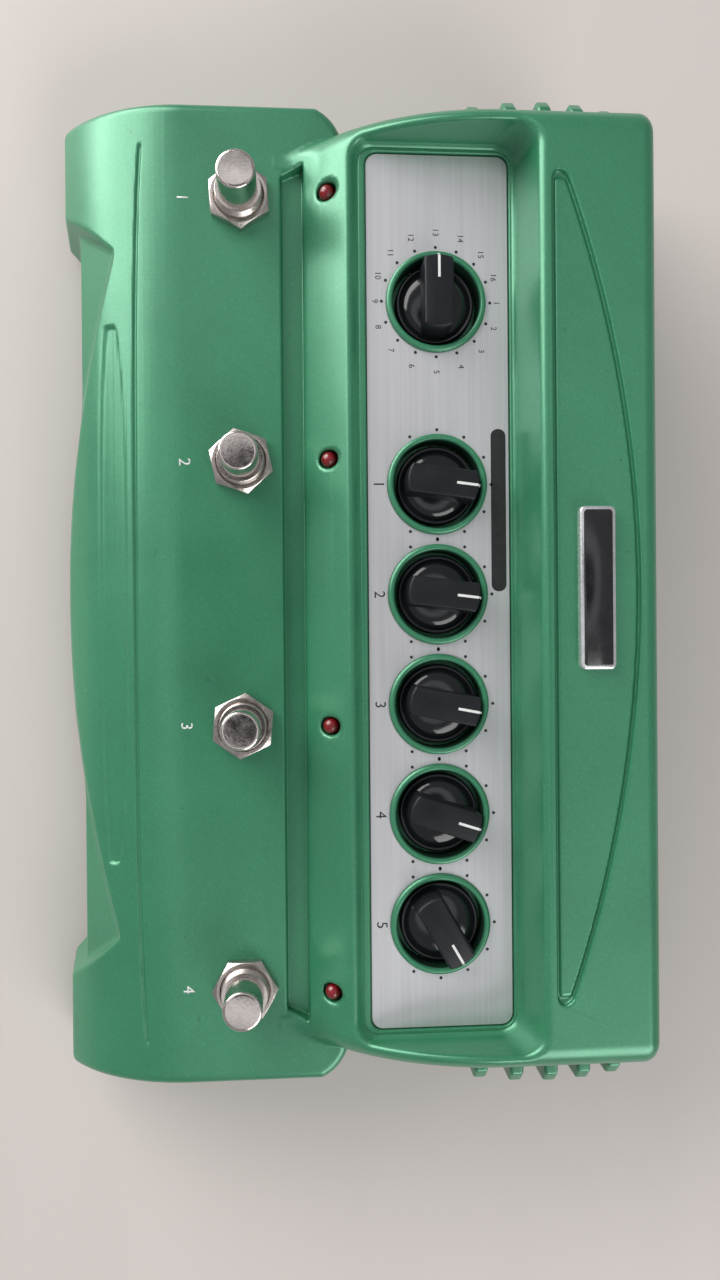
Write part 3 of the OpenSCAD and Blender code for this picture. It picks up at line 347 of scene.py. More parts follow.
def bore_holes(body, xs, ys, zs):
    """Holes for the footswitch bushes, lamps, sockets and power inlet."""
    Z = zs[None, None, :]
    for x in SWITCH_X:
        part, gap = around(xs, ys, x, SWITCH_Y, SWITCH_REACH)
        body[part] = np.maximum(body[part], SWITCH_R - gap)
        cols, rows = np.abs(xs - x) < SWITCH_REACH, np.abs(ys - LAMP_Y) < LAMP_REACH
        part = np.ix_(cols, rows)
        py, pz = ys[rows][None, :, None] - LAMP_Y, Z - crest(LAMP_Y)
        along = -py * math.sin(LAMP_LEAN) + pz * math.cos(LAMP_LEAN)
        sideways = py * math.cos(LAMP_LEAN) + pz * math.sin(LAMP_LEAN)
        across = np.hypot(xs[cols][:, None, None] - x, sideways)
        bore = np.maximum(np.maximum(across - LAMP_BORE_R, -along - LAMP_BORE_L), along + LAMP_SINK)
        upright = np.hypot(xs[cols][:, None] - x, ys[rows][None, :] - LAMP_Y)[:, :, None]
        chamfer = (upright - LAMP_RIM_R - LAMP_RIM_LEAN * body[part]) * LAMP_RIM_COS
        mouth = np.maximum(np.minimum(upright - LAMP_MOUTH_R, chamfer), -pz - LAMP_MOUTH_D)
        body[part] = np.maximum(body[part], -np.maximum(np.minimum(bore, mouth), pz - LAMP_ABOVE))
    rows = ys > INNER_BACK - BACK_REACH
    holes = [(SOCKET_X + SOCKET_PITCH * i, SOCKET_Z, SOCKET_R) for i in range(5)]
    for x, z, r in holes + [(INLET_X, INLET_Z, INLET_R)]:
        cols = np.abs(xs - x) < SOCKET_REACH
        part = np.ix_(cols, rows)
        body[part] = np.maximum(body[part], r - np.hypot(xs[cols][:, None, None] - x, Z - z))


def inner_room(xs, ys, zs):
    """Room inside the casing, less the bosses, posts and well cups that stand in it."""
    Z = zs[None, None, :]
    room = polygon_field([
        (INNER_FRONT, -DEEP), (INNER_FRONT, INNER_LIP_Z), (INNER_BEND_Y, INNER_BEND_Z),
        (EDGE_Y, DECK_H - WALL), (BED_FRONT, DECK_H - WALL), (BED_FRONT, DECK_H - BED_T),
        (INNER_STEP, DECK_H - BED_T), (INNER_STEP, INNER_RISE_Z), (RECESS_F, INNER_CUP_Z),
        (INNER_CUP_B, INNER_CUP_Z), (RECESS_B + WALL, HUMP_H - WALL), (INNER_BACK, HUMP_H - WALL),
        (INNER_BACK, -DEEP)], ys, zs)[None]
    half = [(INNER_FH, INNER_FRONT), (INNER_FH, INNER_STEP), (INNER_RH, INNER_STEP), (INNER_RH, INNER_BACK)]
    plan = polygon_field(half + [(-x, y) for x, y in reversed(half)], xs, ys)
    room = np.maximum(room, plan[:, :, None])
    stands = [(side * x, y, BOSS_R, BOSS_Z) for side in (-1, 1) for x, y in BOSSES]
    stands += [(side * POST_HALF, y, BOSS_R, CONTROL_TOP) for side in (-1, 1) for y in (POST_F, POST_B)]
    stands += [(x, MIDDLE_Y, BOSS_R, CONTROL_TOP) for x in MIDDLE_POSTS]
    stands += [(x, ROW, WELL_R + WELL_FLOOR, WELL_Z - WELL_FLOOR) for _, x, _ in KNOBS]
    for x, y, r, z in stands:
        part, gap = around(xs, ys, x, y, r + STAND_REACH)
        room[part] = np.maximum(room[part], -np.maximum(gap - r, z - Z))
    return room


def casing_field(xs, ys, zs):
    """Signed distance of the casing on a grid, with every edge softened as cast metal is."""
    body = either(front_block(xs, ys, zs), rear_section(xs, ys, zs), SOFT["block to rear"]).astype(np.float32)
    add_fins(body, xs, ys, zs)
    body = np.maximum(body, FOOT_H - zs[None, None, :])
    body = sink_controls(body, xs, ys, zs)
    body = sink_panels(body, xs, ys, zs)
    bore_holes(body, xs, ys, zs)
    return np.maximum(body, -inner_room(xs, ys, zs)).astype(np.float32)


def sample(f, p, low, step):
    """Value of a grid field at points, by straight interpolation."""
    g = (p - low) / step
    i = np.clip(np.floor(g).astype(np.int64), 0, np.array(f.shape) - 2)
    t = (g - i).astype(np.float32)
    share = (1 - t, t)
    out = np.zeros(len(p), np.float32)
    for a, b, c in CORNERS:
        weight = share[a][:, 0] * share[b][:, 1] * share[c][:, 2]
        out += weight * f[i[:, 0] + a, i[:, 1] + b, i[:, 2] + c]
    return out


def slope_of(f, p, low, step):
    """Outward direction of a grid field at points."""
    g = np.empty((len(p), 3), np.float32)
    for k in range(3):
        d = np.zeros(3)
        d[k] = step[k] * 0.5
        g[:, k] = (sample(f, p + d, low, step) - sample(f, p - d, low, step)) / step[k]
    return g / np.maximum(np.linalg.norm(g, axis=1, keepdims=True), 1e-6)


def cell_points(f, cells, low, step):
    """One point in each cut cell: the mean of where the surface crosses its edges."""
    total = np.zeros((len(cells), 3), np.float32)
    count = np.zeros(len(cells), np.float32)
    value = {k: f[cells[:, 0] + k[0], cells[:, 1] + k[1], cells[:, 2] + k[2]] for k in CORNERS}
    for k in CORNERS:
        for axis in range(3):
            if k[axis]:
                continue
            o = list(k)
            o[axis] = 1
            v0, v1 = value[k], value[tuple(o)]
            hit = (v0 < 0) != (v1 < 0)
            t = np.where(hit, v0 / np.where(hit, v0 - v1, 1), 0)
            at = np.array(k, np.float32)[None] + t[:, None] * np.eye(3, dtype=np.float32)[axis][None]
            total += np.where(hit[:, None], at, 0)
            count += hit
    return low + (cells + total / count[:, None]) * step


def skin(f, low, step):
    """Closed quad mesh over the zero level of a grid field."""
    inside = f < 0
    n = np.zeros(tuple(s - 1 for s in f.shape), np.int8)
    for a, b, c in CORNERS:
        n += inside[a:f.shape[0] - 1 + a, b:f.shape[1] - 1 + b, c:f.shape[2] - 1 + c]
    cells = np.argwhere((n > 0) & (n < 8))
    number = np.full(n.shape, -1, np.int32)
    number[tuple(cells.T)] = np.arange(len(cells))
    faces = []
    for axis in range(3):
        u, v = (axis + 1) % 3, (axis + 2) % 3
        a = [slice(1, -1)] * 3
        b = [slice(1, -1)] * 3
        a[axis], b[axis] = slice(0, -1), slice(1, None)
        offset = np.ones(3, int)
        offset[axis] = 0
        at = np.argwhere(inside[tuple(a)] != inside[tuple(b)]) + offset
        ring = []
        for du, dv in ((0, 0), (-1, 0), (-1, -1), (0, -1)):
            c = at.copy()
            c[:, u] += du
            c[:, v] += dv
            ring.append(number[c[:, 0], c[:, 1], c[:, 2]])
        ring = np.stack(ring, 1)
        outward = inside[at[:, 0], at[:, 1], at[:, 2]]
        ring[~outward] = ring[~outward][:, ::-1]
        faces.append(ring)
    return cell_points(f, cells, low, step), np.concatenate(faces)


def link(name, me):
    """New object of the scene round a mesh, light, curve or camera."""
    ob = bpy.data.objects.new(name, me)
    bpy.context.scene.collection.objects.link(ob)
    return ob


def evaluated_mesh(ob):
    """New mesh of an object with its modifiers applied."""
    return bpy.data.meshes.new_from_object(ob.evaluated_get(bpy.context.evaluated_depsgraph_get()))


def mesh_object(name, points, faces):
    """Object from points in millimetres and faces of one size, as number arrays."""
    points, faces = np.asarray(points, np.float32) * MM, np.asarray(faces, np.int32)
    me = bpy.data.meshes.new(name)
    sides = faces.shape[1]
    me.vertices.add(len(points))
    me.vertices.foreach_set("co", points.ravel())
    me.loops.add(faces.size)
    me.loops.foreach_set("vertex_index", faces.ravel())
    me.polygons.add(len(faces))
    me.polygons.foreach_set("loop_start", np.arange(0, faces.size, sides, dtype=np.int32))
    me.polygons.foreach_set("loop_total", np.full(len(faces), sides, np.int32))
    me.update(calc_edges=True)
    me.validate()
    return link(name, me)


def smooth(ob, angle=None):
    """Smooth shading, with edges sharper than the angle in degrees kept."""
    me = ob.data
    me.polygons.foreach_set("use_smooth", np.ones(len(me.polygons), bool))
    if angle is not None:
        bpy.context.view_layer.objects.active = ob
        for o in bpy.context.selected_objects:
            o.select_set(False)
        ob.select_set(True)
        bpy.ops.object.shade_smooth_by_angle(angle=math.radians(angle))


GRID, QUICK_GRID = (0.9, 0.45, 0.45), (1.6, 0.9, 0.9)
GRID_LOW, GRID_HIGH, GRID_SHIFT = (-134.0, -83.0, 1.0), (134.0, 80.5, 63.5), 0.31
CASING_FACES, QUICK_FACES, DRAW_SHARE = 130000, 40000, 0.9
CASING_LOW, CASING_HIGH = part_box("casing")


def build_casing():
    """Casing shell: the skin of its field, drawn onto the surface, thinned out and kept in the CAD box."""
    step = np.array(GRID)
    low = np.array(GRID_LOW) + GRID_SHIFT * step
    counts = np.ceil((np.array(GRID_HIGH) - low) / step).astype(int)
    f = casing_field(*[low[k] + step[k] * np.arange(counts[k]) for k in range(3)])
    points, faces = skin(f, low, step)
    for _ in range(2):
        points = points - DRAW_SHARE * sample(f, points, low, step)[:, None] * slope_of(f, points, low, step)
    ob = mesh_object("casing_shell", points, faces)
    fewer = ob.modifiers.new("fewer", "DECIMATE")
    fewer.ratio = min(1.0, CASING_FACES / (2 * len(faces)))
    made = evaluated_mesh(ob)
    ob.modifiers.clear()
    old = ob.data
    ob.data = made
    bpy.data.meshes.remove(old)
    made.name = "casing_shell"
    co = np.empty(len(made.vertices) * 3, np.float32)
    made.vertices.foreach_get("co", co)
    co = np.clip(co.reshape(-1, 3), np.array(CASING_LOW), np.array(CASING_HIGH))
    made.vertices.foreach_set("co", co.ravel())
    smooth(ob)
    made.normals_split_custom_set_from_vertices(slope_of(f, co / MM, low, step).tolist())
    return ob


casing = build_casing()
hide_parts("casing")
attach(casing, "chassis")


def simple(name, points, faces, angle=35, material=None):
    """Object from lists of points in millimetres and faces of any size."""
    me = bpy.data.meshes.new(name)
    me.from_pydata([Vector(p) * MM for p in points], [], [list(f) for f in faces])
    me.update()
    ob = link(name, me)
    smooth(ob, angle)
    if material:
        me.materials.append(material)
    return ob


def moved(solid, matrix):
    """A solid's points carried by a matrix, with its faces."""
    return [tuple(matrix @ Vector(p)) for p in solid[0]], solid[1]


def turned(profile, n=64):
    """Points and faces of a closed profile of radius and height turned about Z; radius 0 lies on the axis."""
    points, rings, faces = [], [], []
    circle = [2 * math.pi * k / n for k in range(n)]
    for r, z in profile:
        if r < 1e-9:
            rings.append([len(points)])
            points.append((0.0, 0.0, z))
        else:
            rings.append(list(range(len(points), len(points) + n)))
            points += [(r * math.cos(a), r * math.sin(a), z) for a in circle]
    for a, b in zip(rings, rings[1:] + rings[:1]):
        if len(a) == 1 and len(b) == 1:
            continue
        for k in range(n):
            j = (k + 1) % n
            if len(a) == 1:
                faces.append((a[0], b[j], b[k]))
            elif len(b) == 1:
                faces.append((a[k], a[j], b[0]))
            else:
                faces.append((a[k], a[j], b[j], b[k]))
    return points, faces


def outward_of(path):
    """Outward directions at the points of a closed path that runs anticlockwise."""
    t = np.roll(path, -1, 0) - np.roll(path, 1, 0)
    t /= np.linalg.norm(t, axis=1, keepdims=True)
    return np.stack([t[:, 1], -t[:, 0]], 1)


def slab(outline, layers):
    """Closed solid from an outline drawn in by each layer's amount at each layer's height."""
    o = np.asarray(outline, float)
    n = len(o)
    points, faces = [], []
    for inward, z in layers:
        points += [(x, y, z) for x, y in o - outward_of(o) * inward]
    for k in range(len(layers) - 1):
        for i in range(n):
            j = (i + 1) % n
            faces.append((k * n + i, k * n + j, (k + 1) * n + j, (k + 1) * n + i))
    faces.append(tuple(range(n - 1, -1, -1)))
    faces.append(tuple(range((len(layers) - 1) * n, len(layers) * n)))
    return points, faces


def swept_ring(path, section):
    """Closed bead: a section of sideways and height offsets carried round a closed path."""
    o = np.asarray(path, float)
    n, m = len(o), len(section)
    side = outward_of(o)
    points = [(*(o[i] + side[i] * a), b) for i in range(n) for a, b in section]
    faces = [(i * m + k, ((i + 1) % n) * m + k, ((i + 1) % n) * m + (k + 1) % m, i * m + (k + 1) % m)
             for i in range(n) for k in range(m)]
    return points, faces


def merge(*solids):
    """Several solids as one list of points and one of faces."""
    points, faces = [], []
    for p, f in solids:
        faces += [tuple(i + len(points) for i in face) for face in f]
        points += p
    return points, faces


def rounded(w, d, r, cx=0.0, cy=0.0, n=8):
    """Outline of a rectangle with round corners."""
    x, y = w / 2 - r, d / 2 - r
    return [(cx + u, cy + v) for u, v in arc(x, -y, r, -90, 0, n) + arc(x, y, r, 0, 90, n)
            + arc(-x, y, r, 90, 180, n) + arc(-x, -y, r, 180, 270, n)]


def piece(ob, body, slot, *stands_for):
    """Ties a piece to its body and hides the CAD nodes that it stands for; the slot is not used."""
    if stands_for:
        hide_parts(*stands_for)
    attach(ob, body)
    return ob


# Six-sided nuts: eased foot, corners turned off on top, and mouth of the bore as wider and lower steps
NUT_TURNED, NUT_EASE, NUT_SLOPE, NUT_LOWER, NUT_RIM = 0.985, 0.15, 0.62, 0.04, 0.05
NUT_MOUTH = ((0.75, 0.0), (0.55, 0.22), (0.0, 0.5))


def hex_nut(width, h, bore, turn, n=96):
    """Points and faces of a six-sided nut with a turned chamfer on top."""
    top_r = width / 2 * NUT_TURNED
    corner = [width / 2 / math.cos(math.radians((360.0 * k / n + 30) % 60 - 30)) for k in range(n)]
    rings = [
        [(bore, 0.0)] * n,
        [(c - NUT_EASE, 0.0) for c in corner],
        [(c, NUT_EASE) for c in corner],
        [(c, h - max(0.0, c - top_r) * NUT_SLOPE - NUT_LOWER) for c in corner],
        [(top_r - NUT_RIM, h)] * n,
    ]
    rings += [[(bore + wider, h - lower)] * n for wider, lower in NUT_MOUTH]
    points = []
    for ring in rings:
        for k, (r, z) in enumerate(ring):
            a = 2 * math.pi * k / n + math.radians(turn)
            points.append((r * math.cos(a), r * math.sin(a), z))
    m = len(rings)
    faces = [(a * n + k, a * n + (k + 1) % n, ((a + 1) % m) * n + (k + 1) % n, ((a + 1) % m) * n + k)
             for a in range(m) for k in range(n)]
    return points, faces

# Size in metres of the flakes that sparkle in the paint
FLAKE = 0.00022


def material(name, colour, rough, metallic=0.0, grain=0.0, grain_size=0.0005, spread=0.12, patch=0.02,
             stretch=(1, 1, 1), coat=0.0, dirt=0.0, dirt_colour=(0.02, 0.03, 0.025), dirt_size=0.004,
             sparkle=0.0, rough_spread=0.08, shine=0.5):
    """Procedural finish: patchy colour, uneven gloss, fine grain and, if asked, specks and sparkle."""
    m = bpy.data.materials.new(name)
    m.use_nodes = True
    t = m.node_tree
    bsdf = t.nodes["Principled BSDF"]
    bsdf.inputs["Metallic"].default_value = metallic
    bsdf.inputs["Specular IOR Level"].default_value = shine
    bsdf.inputs["Coat Weight"].default_value = coat
    bsdf.inputs["Coat Roughness"].default_value = 0.12

    def node(kind, **values):
        n = t.nodes.new(kind)
        for k, v in values.items():
            if hasattr(n, k):
                setattr(n, k, v)
            else:
                n.inputs[k].default_value = v
        return n

    place = node("ShaderNodeTexCoord").outputs["Object"]
    shape = node("ShaderNodeMapping")
    shape.inputs["Scale"].default_value = stretch
    t.links.new(place, shape.inputs["Vector"])

    def noise(size, detail=3.0, roughness=0.55, at=shape.outputs["Vector"]):
        n = node("ShaderNodeTexNoise", Scale=1.0 / size, Detail=detail, Roughness=roughness)
        t.links.new(at, n.inputs["Vector"])
        return n.outputs["Fac"]

    def ramp(value, stops):
        n = node("ShaderNodeValToRGB")
        e = n.color_ramp.elements
        while len(e) < len(stops):
            e.new(0.5)
        for i, (at, c) in enumerate(stops):
            e[i].position = at
            e[i].color = (*c, 1)
        t.links.new(value, n.inputs["Fac"])
        return n.outputs["Color"]

    def grey(level):
        return (level, level, level)

    dark = tuple(c * (1 - spread) for c in colour)
    light = tuple(min(1.0, c * (1 + spread)) for c in colour)
    shade = ramp(noise(patch), [(0.3, dark), (0.7, light)])
    if sparkle:
        flakes = node("ShaderNodeTexVoronoi", Scale=1.0 / FLAKE)
        t.links.new(place, flakes.inputs["Vector"])
        levels = [(0.0, grey(1 - sparkle)), (0.75, grey(1)), (0.92, grey(1 + 1.8 * sparkle))]
        mix = node("ShaderNodeMix", data_type="RGBA", blend_type="MULTIPLY")
        mix.inputs["Factor"].default_value = 1.0
        t.links.new(shade, mix.inputs["A"])
        t.links.new(ramp(flakes.outputs["Color"], levels), mix.inputs["B"])
        shade = mix.outputs["Result"]
    if dirt:
        spots = noise(dirt_size, 6.0, 0.72, place)
        mix = node("ShaderNodeMix", data_type="RGBA")
        cover = ramp(spots, [(0.70 - dirt * 0.1, grey(0)), (0.74, grey(1))])
        t.links.new(cover, mix.inputs["Factor"])
        t.links.new(shade, mix.inputs["A"])
        mix.inputs["B"].default_value = (*dirt_colour, 1)
        shade = mix.outputs["Result"]
    t.links.new(shade, bsdf.inputs["Base Color"])
    smoothest, roughest = max(0.0, rough - rough_spread), min(1.0, rough + rough_spread)
    gloss = ramp(noise(patch * 0.6), [(0.25, grey(smoothest)), (0.75, grey(roughest))])
    t.links.new(gloss, bsdf.inputs["Roughness"])
    if grain:
        bump = node("ShaderNodeBump", Strength=grain)
        bump.inputs["Distance"].default_value = grain_size * 0.25
        t.links.new(noise(grain_size, 2.0), bump.inputs["Height"])
        t.links.new(bump.outputs["Normal"], bsdf.inputs["Normal"])
    return m


# Finishes: colour and roughness, then metal, grain, patches and dirt, with sizes in metres
paint = material("green_paint", (0.046, 0.262, 0.132), metallic=0.30, rough=0.31, grain=0.08, spread=0.06,
                 patch=0.03, shine=0.9, dirt=0.35, dirt_colour=(0.02, 0.07, 0.04), dirt_size=0.0035,
                 sparkle=0.14, rough_spread=0.04)
# Near-black green for the well linings: painted shade in the knobs' wells
well_shade_paint = material("well_shade_paint", (0.005, 0.022, 0.012), rough=0.5, grain=0.1, spread=0.2, patch=0.01)
plate_metal = material("brushed_plate", (0.66, 0.655, 0.67), metallic=0.60, rough=0.40, grain=0.10,
                       grain_size=0.0002, spread=0.05, patch=0.0012, stretch=(0.02, 1.3, 1), dirt=0.25,
                       dirt_colour=(0.22, 0.20, 0.20), dirt_size=0.0016, rough_spread=0.05)
knob_gloss = material("knob_gloss", (0.008, 0.009, 0.011), rough=0.12, grain=0.04, grain_size=0.002,
                      spread=0.25, patch=0.01, coat=0.2, rough_spread=0.04)
knob_satin = material("knob_satin", (0.011, 0.012, 0.015), rough=0.38, grain=0.22, grain_size=0.0004,
                      spread=0.22, patch=0.006, rough_spread=0.07, shine=0.3)
white_ink = material("white_ink", (0.80, 0.80, 0.79), rough=0.45, grain=0.1, grain_size=0.0004,
                     spread=0.05, patch=0.003)
black_ink = material("black_ink", (0.018, 0.018, 0.020), rough=0.42, grain=0.1, grain_size=0.0003,
                     spread=0.25, patch=0.002)
nickel = material("worn_nickel", (0.66, 0.60, 0.57), metallic=1.0, rough=0.20, grain=0.12,
                  grain_size=0.0008, spread=0.10, patch=0.004, dirt=0.3, dirt_colour=(0.30, 0.24, 0.22),
                  dirt_size=0.002)
nut_metal = material("nut_nickel", (0.58, 0.52, 0.49), metallic=1.0, rough=0.32, grain=0.3,
                     grain_size=0.0007, spread=0.16, patch=0.003, dirt=0.5,
                     dirt_colour=(0.20, 0.15, 0.13), dirt_size=0.0016, rough_spread=0.10)
lamp_red = material("lamp_red", (0.20, 0.004, 0.010), rough=0.10, grain=0.03, grain_size=0.001,
                    spread=0.3, patch=0.002, coat=0.6, rough_spread=0.03)
badge_black = material("badge_black", (0.012, 0.012, 0.014), rough=0.22, grain=0.06, grain_size=0.0006,
                       spread=0.3, patch=0.004, coat=0.4)
badge_silver = material("badge_silver", (0.72, 0.72, 0.73), metallic=0.75, rough=0.28, grain=0.1,
                        spread=0.08, patch=0.003)
zinc = material("zinc_sheet", (0.50, 0.50, 0.49), metallic=0.9, rough=0.42, grain=0.2, grain_size=0.002,
                spread=0.14, patch=0.012)
dark_steel = material("dark_steel", (0.10, 0.10, 0.105), metallic=0.9, rough=0.38, grain=0.2,
                      grain_size=0.0006, spread=0.2, patch=0.003)
rubber = material("foot_rubber", (0.022, 0.022, 0.023), rough=0.78, grain=0.5, grain_size=0.0008,
                  spread=0.25, patch=0.004)
shaft_metal = material("shaft_metal", (0.62, 0.62, 0.62), metallic=1.0, rough=0.28, grain=0.2,
                       grain_size=0.0006, spread=0.1, patch=0.004)
can_blue = material("can_blue", (0.05, 0.11, 0.24), metallic=0.1, rough=0.45, grain=0.2,
                    grain_size=0.0008, spread=0.2, patch=0.005)
board = material("board_green", (0.012, 0.085, 0.032), rough=0.35, grain=0.2, grain_size=0.001,
                 spread=0.3, patch=0.006)
spring_steel = material("spring_steel", (0.45, 0.45, 0.46), metallic=1.0, rough=0.3, grain=0.3,
                        grain_size=0.0012, spread=0.15, patch=0.003)
black_plastic = material("black_plastic", (0.020, 0.020, 0.022), rough=0.5, grain=0.25, grain_size=0.0008,
                         spread=0.22, patch=0.005)
cable_grey = material("cable_grey", (0.42, 0.42, 0.39), rough=0.6, grain=0.2, grain_size=0.001,
                      patch=0.004)
connector = material("connector_cream", (0.62, 0.58, 0.44), rough=0.5, grain=0.15, grain_size=0.001,
                     spread=0.1, patch=0.004)
brass = material("brass_post", (0.52, 0.36, 0.12), metallic=1.0, rough=0.3, grain=0.2, grain_size=0.0008,
                 patch=0.003)

# Paint on the casing, and finishes of the pieces that keep their CAD form
casing.data.materials.clear()
casing.data.materials.append(paint)
CAD_FINISH = {
    "base_plate": zinc, "base_screws": dark_steel, "rubber_feet": rubber, "control_plate": plate_metal,
    "selector_shaft": shaft_metal, "selector_encoder": can_blue, "dial_pots": can_blue,
    "control_board": board, "control_board_screws": dark_steel, "footswitch_housings": nickel,
    "footswitch_bases": black_plastic, "switch_board": board, "switch_ribbon": cable_grey,
    "main_board": board, "main_board_chips": black_plastic, "main_board_capacitors": can_blue,
    "board_standoffs": brass, "board_screws": dark_steel, "board_connectors": connector,
    "ribbon_cable": cable_grey, "jack_sockets": black_plastic, "jack_nuts": nut_metal,
    "jack_washers": nickel, "power_inlet": black_plastic,
}
CAD_FINISH.update({f"dial_shaft_{i}": shaft_metal for i in range(1, 6)})
CAD_FINISH.update({f"footswitch_spring_{i}": spring_steel for i in range(1, 5)})
for name, finish in CAD_FINISH.items():
    nodes[name].data.materials.clear()
    nodes[name].data.materials.append(finish)

# Knobs: a glossy stepped skirt, a satin grip bar and a white pointer
KNOB_Z, KNOB_TOP = WELL_Z + 0.4, PANEL_Z + 6.5
SKIRT = [(0, KNOB_Z), (10.1, KNOB_Z), (10.45, KNOB_Z + 0.4), (10.45, 43.6), (10.3, 44.0), (9.95, 44.2),
         (9.6, 44.15), (9.35, 44.0), (9.1, 44.2), (8.4, 44.9), (7.0, 45.5), (5.0, 46.0), (2.5, 46.3),
         (0, 46.4)]
BAR_W, BAR_FRONT, BAR_BACK, BAR_CORNER = 8.0, 10.4, 8.7, 0.9
BAR_LAYERS = [(0.0, 43.4), (0.0, 45.0), (0.25, KNOB_TOP - 0.55), (0.31, KNOB_TOP - 0.3),
              (0.45, KNOB_TOP - 0.1), (0.75, KNOB_TOP)]
POINTER_HALF, POINTER_FROM, POINTER_TO, TIP_FROM = 0.33, 4.2, BAR_FRONT - 0.6, BAR_FRONT - 1.2
POINTER_LAYERS = [(0, KNOB_TOP - 0.3), (0, KNOB_TOP + 0.03)]
TIP_LAYERS = [(0.0, KNOB_TOP - 2.5), (0.0, KNOB_TOP - 0.75), (0.12, KNOB_TOP - 0.35), (0.3, KNOB_TOP - 0.02)]


def bar_end(reach):
    """Round end of the grip bar, at the given reach from the middle, with small corner rounds."""
    c = reach - BAR_CORNER
    a = math.asin((BAR_W / 2 - BAR_CORNER) / c)
    half = math.degrees(a)
    tip = arc(0, 0, reach, 90 - half, 90 + half, 10)
    right = arc(c * math.sin(a), c * math.cos(a), BAR_CORNER, 0, 90 - half, 4)
    left = [(-x, y) for x, y in reversed(right)]
    return right[:-1] + tip + left[1:]


def pointer(start, end, layers):
    """Narrow strip of the pointer along the grip bar."""
    h = POINTER_HALF
    return slab([(-h, start), (h, start), (h, end), (-h, end)], layers)


def knob(name, x, angle):
    """Body and pointer of a knob, turned as it stands at rest."""
    place = Matrix.Translation((x, ROW, 0)) @ Matrix.Rotation(math.radians(-angle), 4, "Z")
    skirt = moved(turned(SKIRT, 96), place)
    grip = bar_end(BAR_FRONT) + [(-u, -v) for u, v in bar_end(BAR_BACK)]
    bar = moved(slab(grip, BAR_LAYERS), place)
    body = simple(name + "_knob_body", *merge(skirt, bar), angle=40, material=knob_gloss)
    body.data.materials.append(knob_satin)
    for i in range(len(skirt[1]), len(body.data.polygons)):
        body.data.polygons[i].material_index = 1
    strip = pointer(POINTER_FROM, POINTER_TO, POINTER_LAYERS)
    tip = pointer(TIP_FROM, BAR_FRONT, TIP_LAYERS)
    line = simple(name + "_pointer", *moved(merge(strip, tip), place), angle=30, material=white_ink)
    return body, line


for name, x, angle in KNOBS:
    body, line = knob(name, x, angle)
    stands = "selector_knob" if name == "selector" else name.replace("dial_", "dial_knob_")
    piece(body, name, "knob", stands)
    piece(line, name, "knob")


def at_knobs(profile):
    """A turned ring round each knob, all as one solid."""
    ring = turned(profile[::-1], 96)
    return merge(*[moved(ring, Matrix.Translation((x, ROW, 0))) for _, x, _ in KNOBS])


# Raised collars of the wells, near-black linings inside them as painted shade deep in the wells, and the bead
# round the plate
COLLAR = [(WELL_R, WELL_Z + 0.05), (WELL_R, 46.75), (11.72, 47.02), (11.95, 47.22), (12.25, 47.3),
          (12.7, 47.22), (13.05, 47.02), (13.2, 46.7), (13.2, 46.1), (12.9, 46.05), (12.9, 45.0),
          (12.5, 44.6), (12.5, WELL_Z + 0.05)]
# Thin tube inside each well whose dark colour is painted shade
SHADE_LINING = [(11.45, WELL_Z + 0.06), (11.45, 46.2), (11.6, 46.5), (11.8, 46.2), (11.8, WELL_Z + 0.06)]
BEAD_OUT, BEAD_R = 2.6, 4.3
BEAD_SIDE = [(0.9, 45.5), (0.9, LEDGE_Z + 0.2), (0.8, LEDGE_Z + 0.38), (0.6, LEDGE_Z + 0.45)]
piece(simple("well_collars", *at_knobs(COLLAR), angle=50, material=paint), "chassis", "paint")
piece(simple("well_shade_linings", *at_knobs(SHADE_LINING), angle=50, material=well_shade_paint), "chassis", "paint")
bead_path = rounded(PLATE_W + BEAD_OUT, PLATE_D + BEAD_OUT, BEAD_R, 0, PLATE_MID, 16)
bead = swept_ring(bead_path, BEAD_SIDE + [(-a, z) for a, z in reversed(BEAD_SIDE)])
piece(simple("panel_bead", *bead, angle=60, material=paint), "chassis", "paint")

# Lamps sunk in the curved front, with round tips that face upwards and two leads each
LAMP_FOOT, LAMP_TIP_R, LAMP_TIP_BACK, LEAD_R, LEAD_HALF = 9.4, 2.1, 0.1, 0.3, 1.27
LAMP_SHELL = [(0, -LAMP_FOOT), (2.9, -LAMP_FOOT), (2.9, -8.4), (2.5, -8.4), (2.5, -4.6), (1.6, -3.8),
              (0, -3.6)]
LAMP_TIP = [(0, -LAMP_TIP_R)] + arc(0, 0, LAMP_TIP_R, -80, 80, 16) + [(0, LAMP_TIP_R)]
LAMP_Z = crest(LAMP_Y)
LEAD_Y = LAMP_Y + LAMP_FOOT * math.sin(LAMP_LEAN)
LEAD_LOW, LEAD_HIGH = CONTROL_TOP - 2.6, LAMP_Z - LAMP_FOOT * math.cos(LAMP_LEAN) + 0.3
lead = turned([(0, LEAD_LOW), (LEAD_R, LEAD_LOW), (LEAD_R, LEAD_HIGH), (0, LEAD_HIGH)], 12)
lamps = []
for x in SWITCH_X:
    place = Matrix.Translation((x, LAMP_Y, LAMP_Z)) @ Matrix.Rotation(LAMP_LEAN, 4, "X")
    tip_at = Matrix.Translation((x, LAMP_Y + LAMP_TIP_BACK, LAMP_Z - LAMP_TIP_R))
    lamps.append(moved(turned(LAMP_SHELL, 48), place))
    lamps.append(moved(turned(LAMP_TIP, 40), tip_at))
    for s in (-LEAD_HALF, LEAD_HALF):
        lamps.append(moved(lead, Matrix.Translation((x + s, LEAD_Y, 0))))
piece(simple("lamps", *merge(*lamps), angle=40, material=lamp_red), "chassis", "lamp", "indicator_lamps")

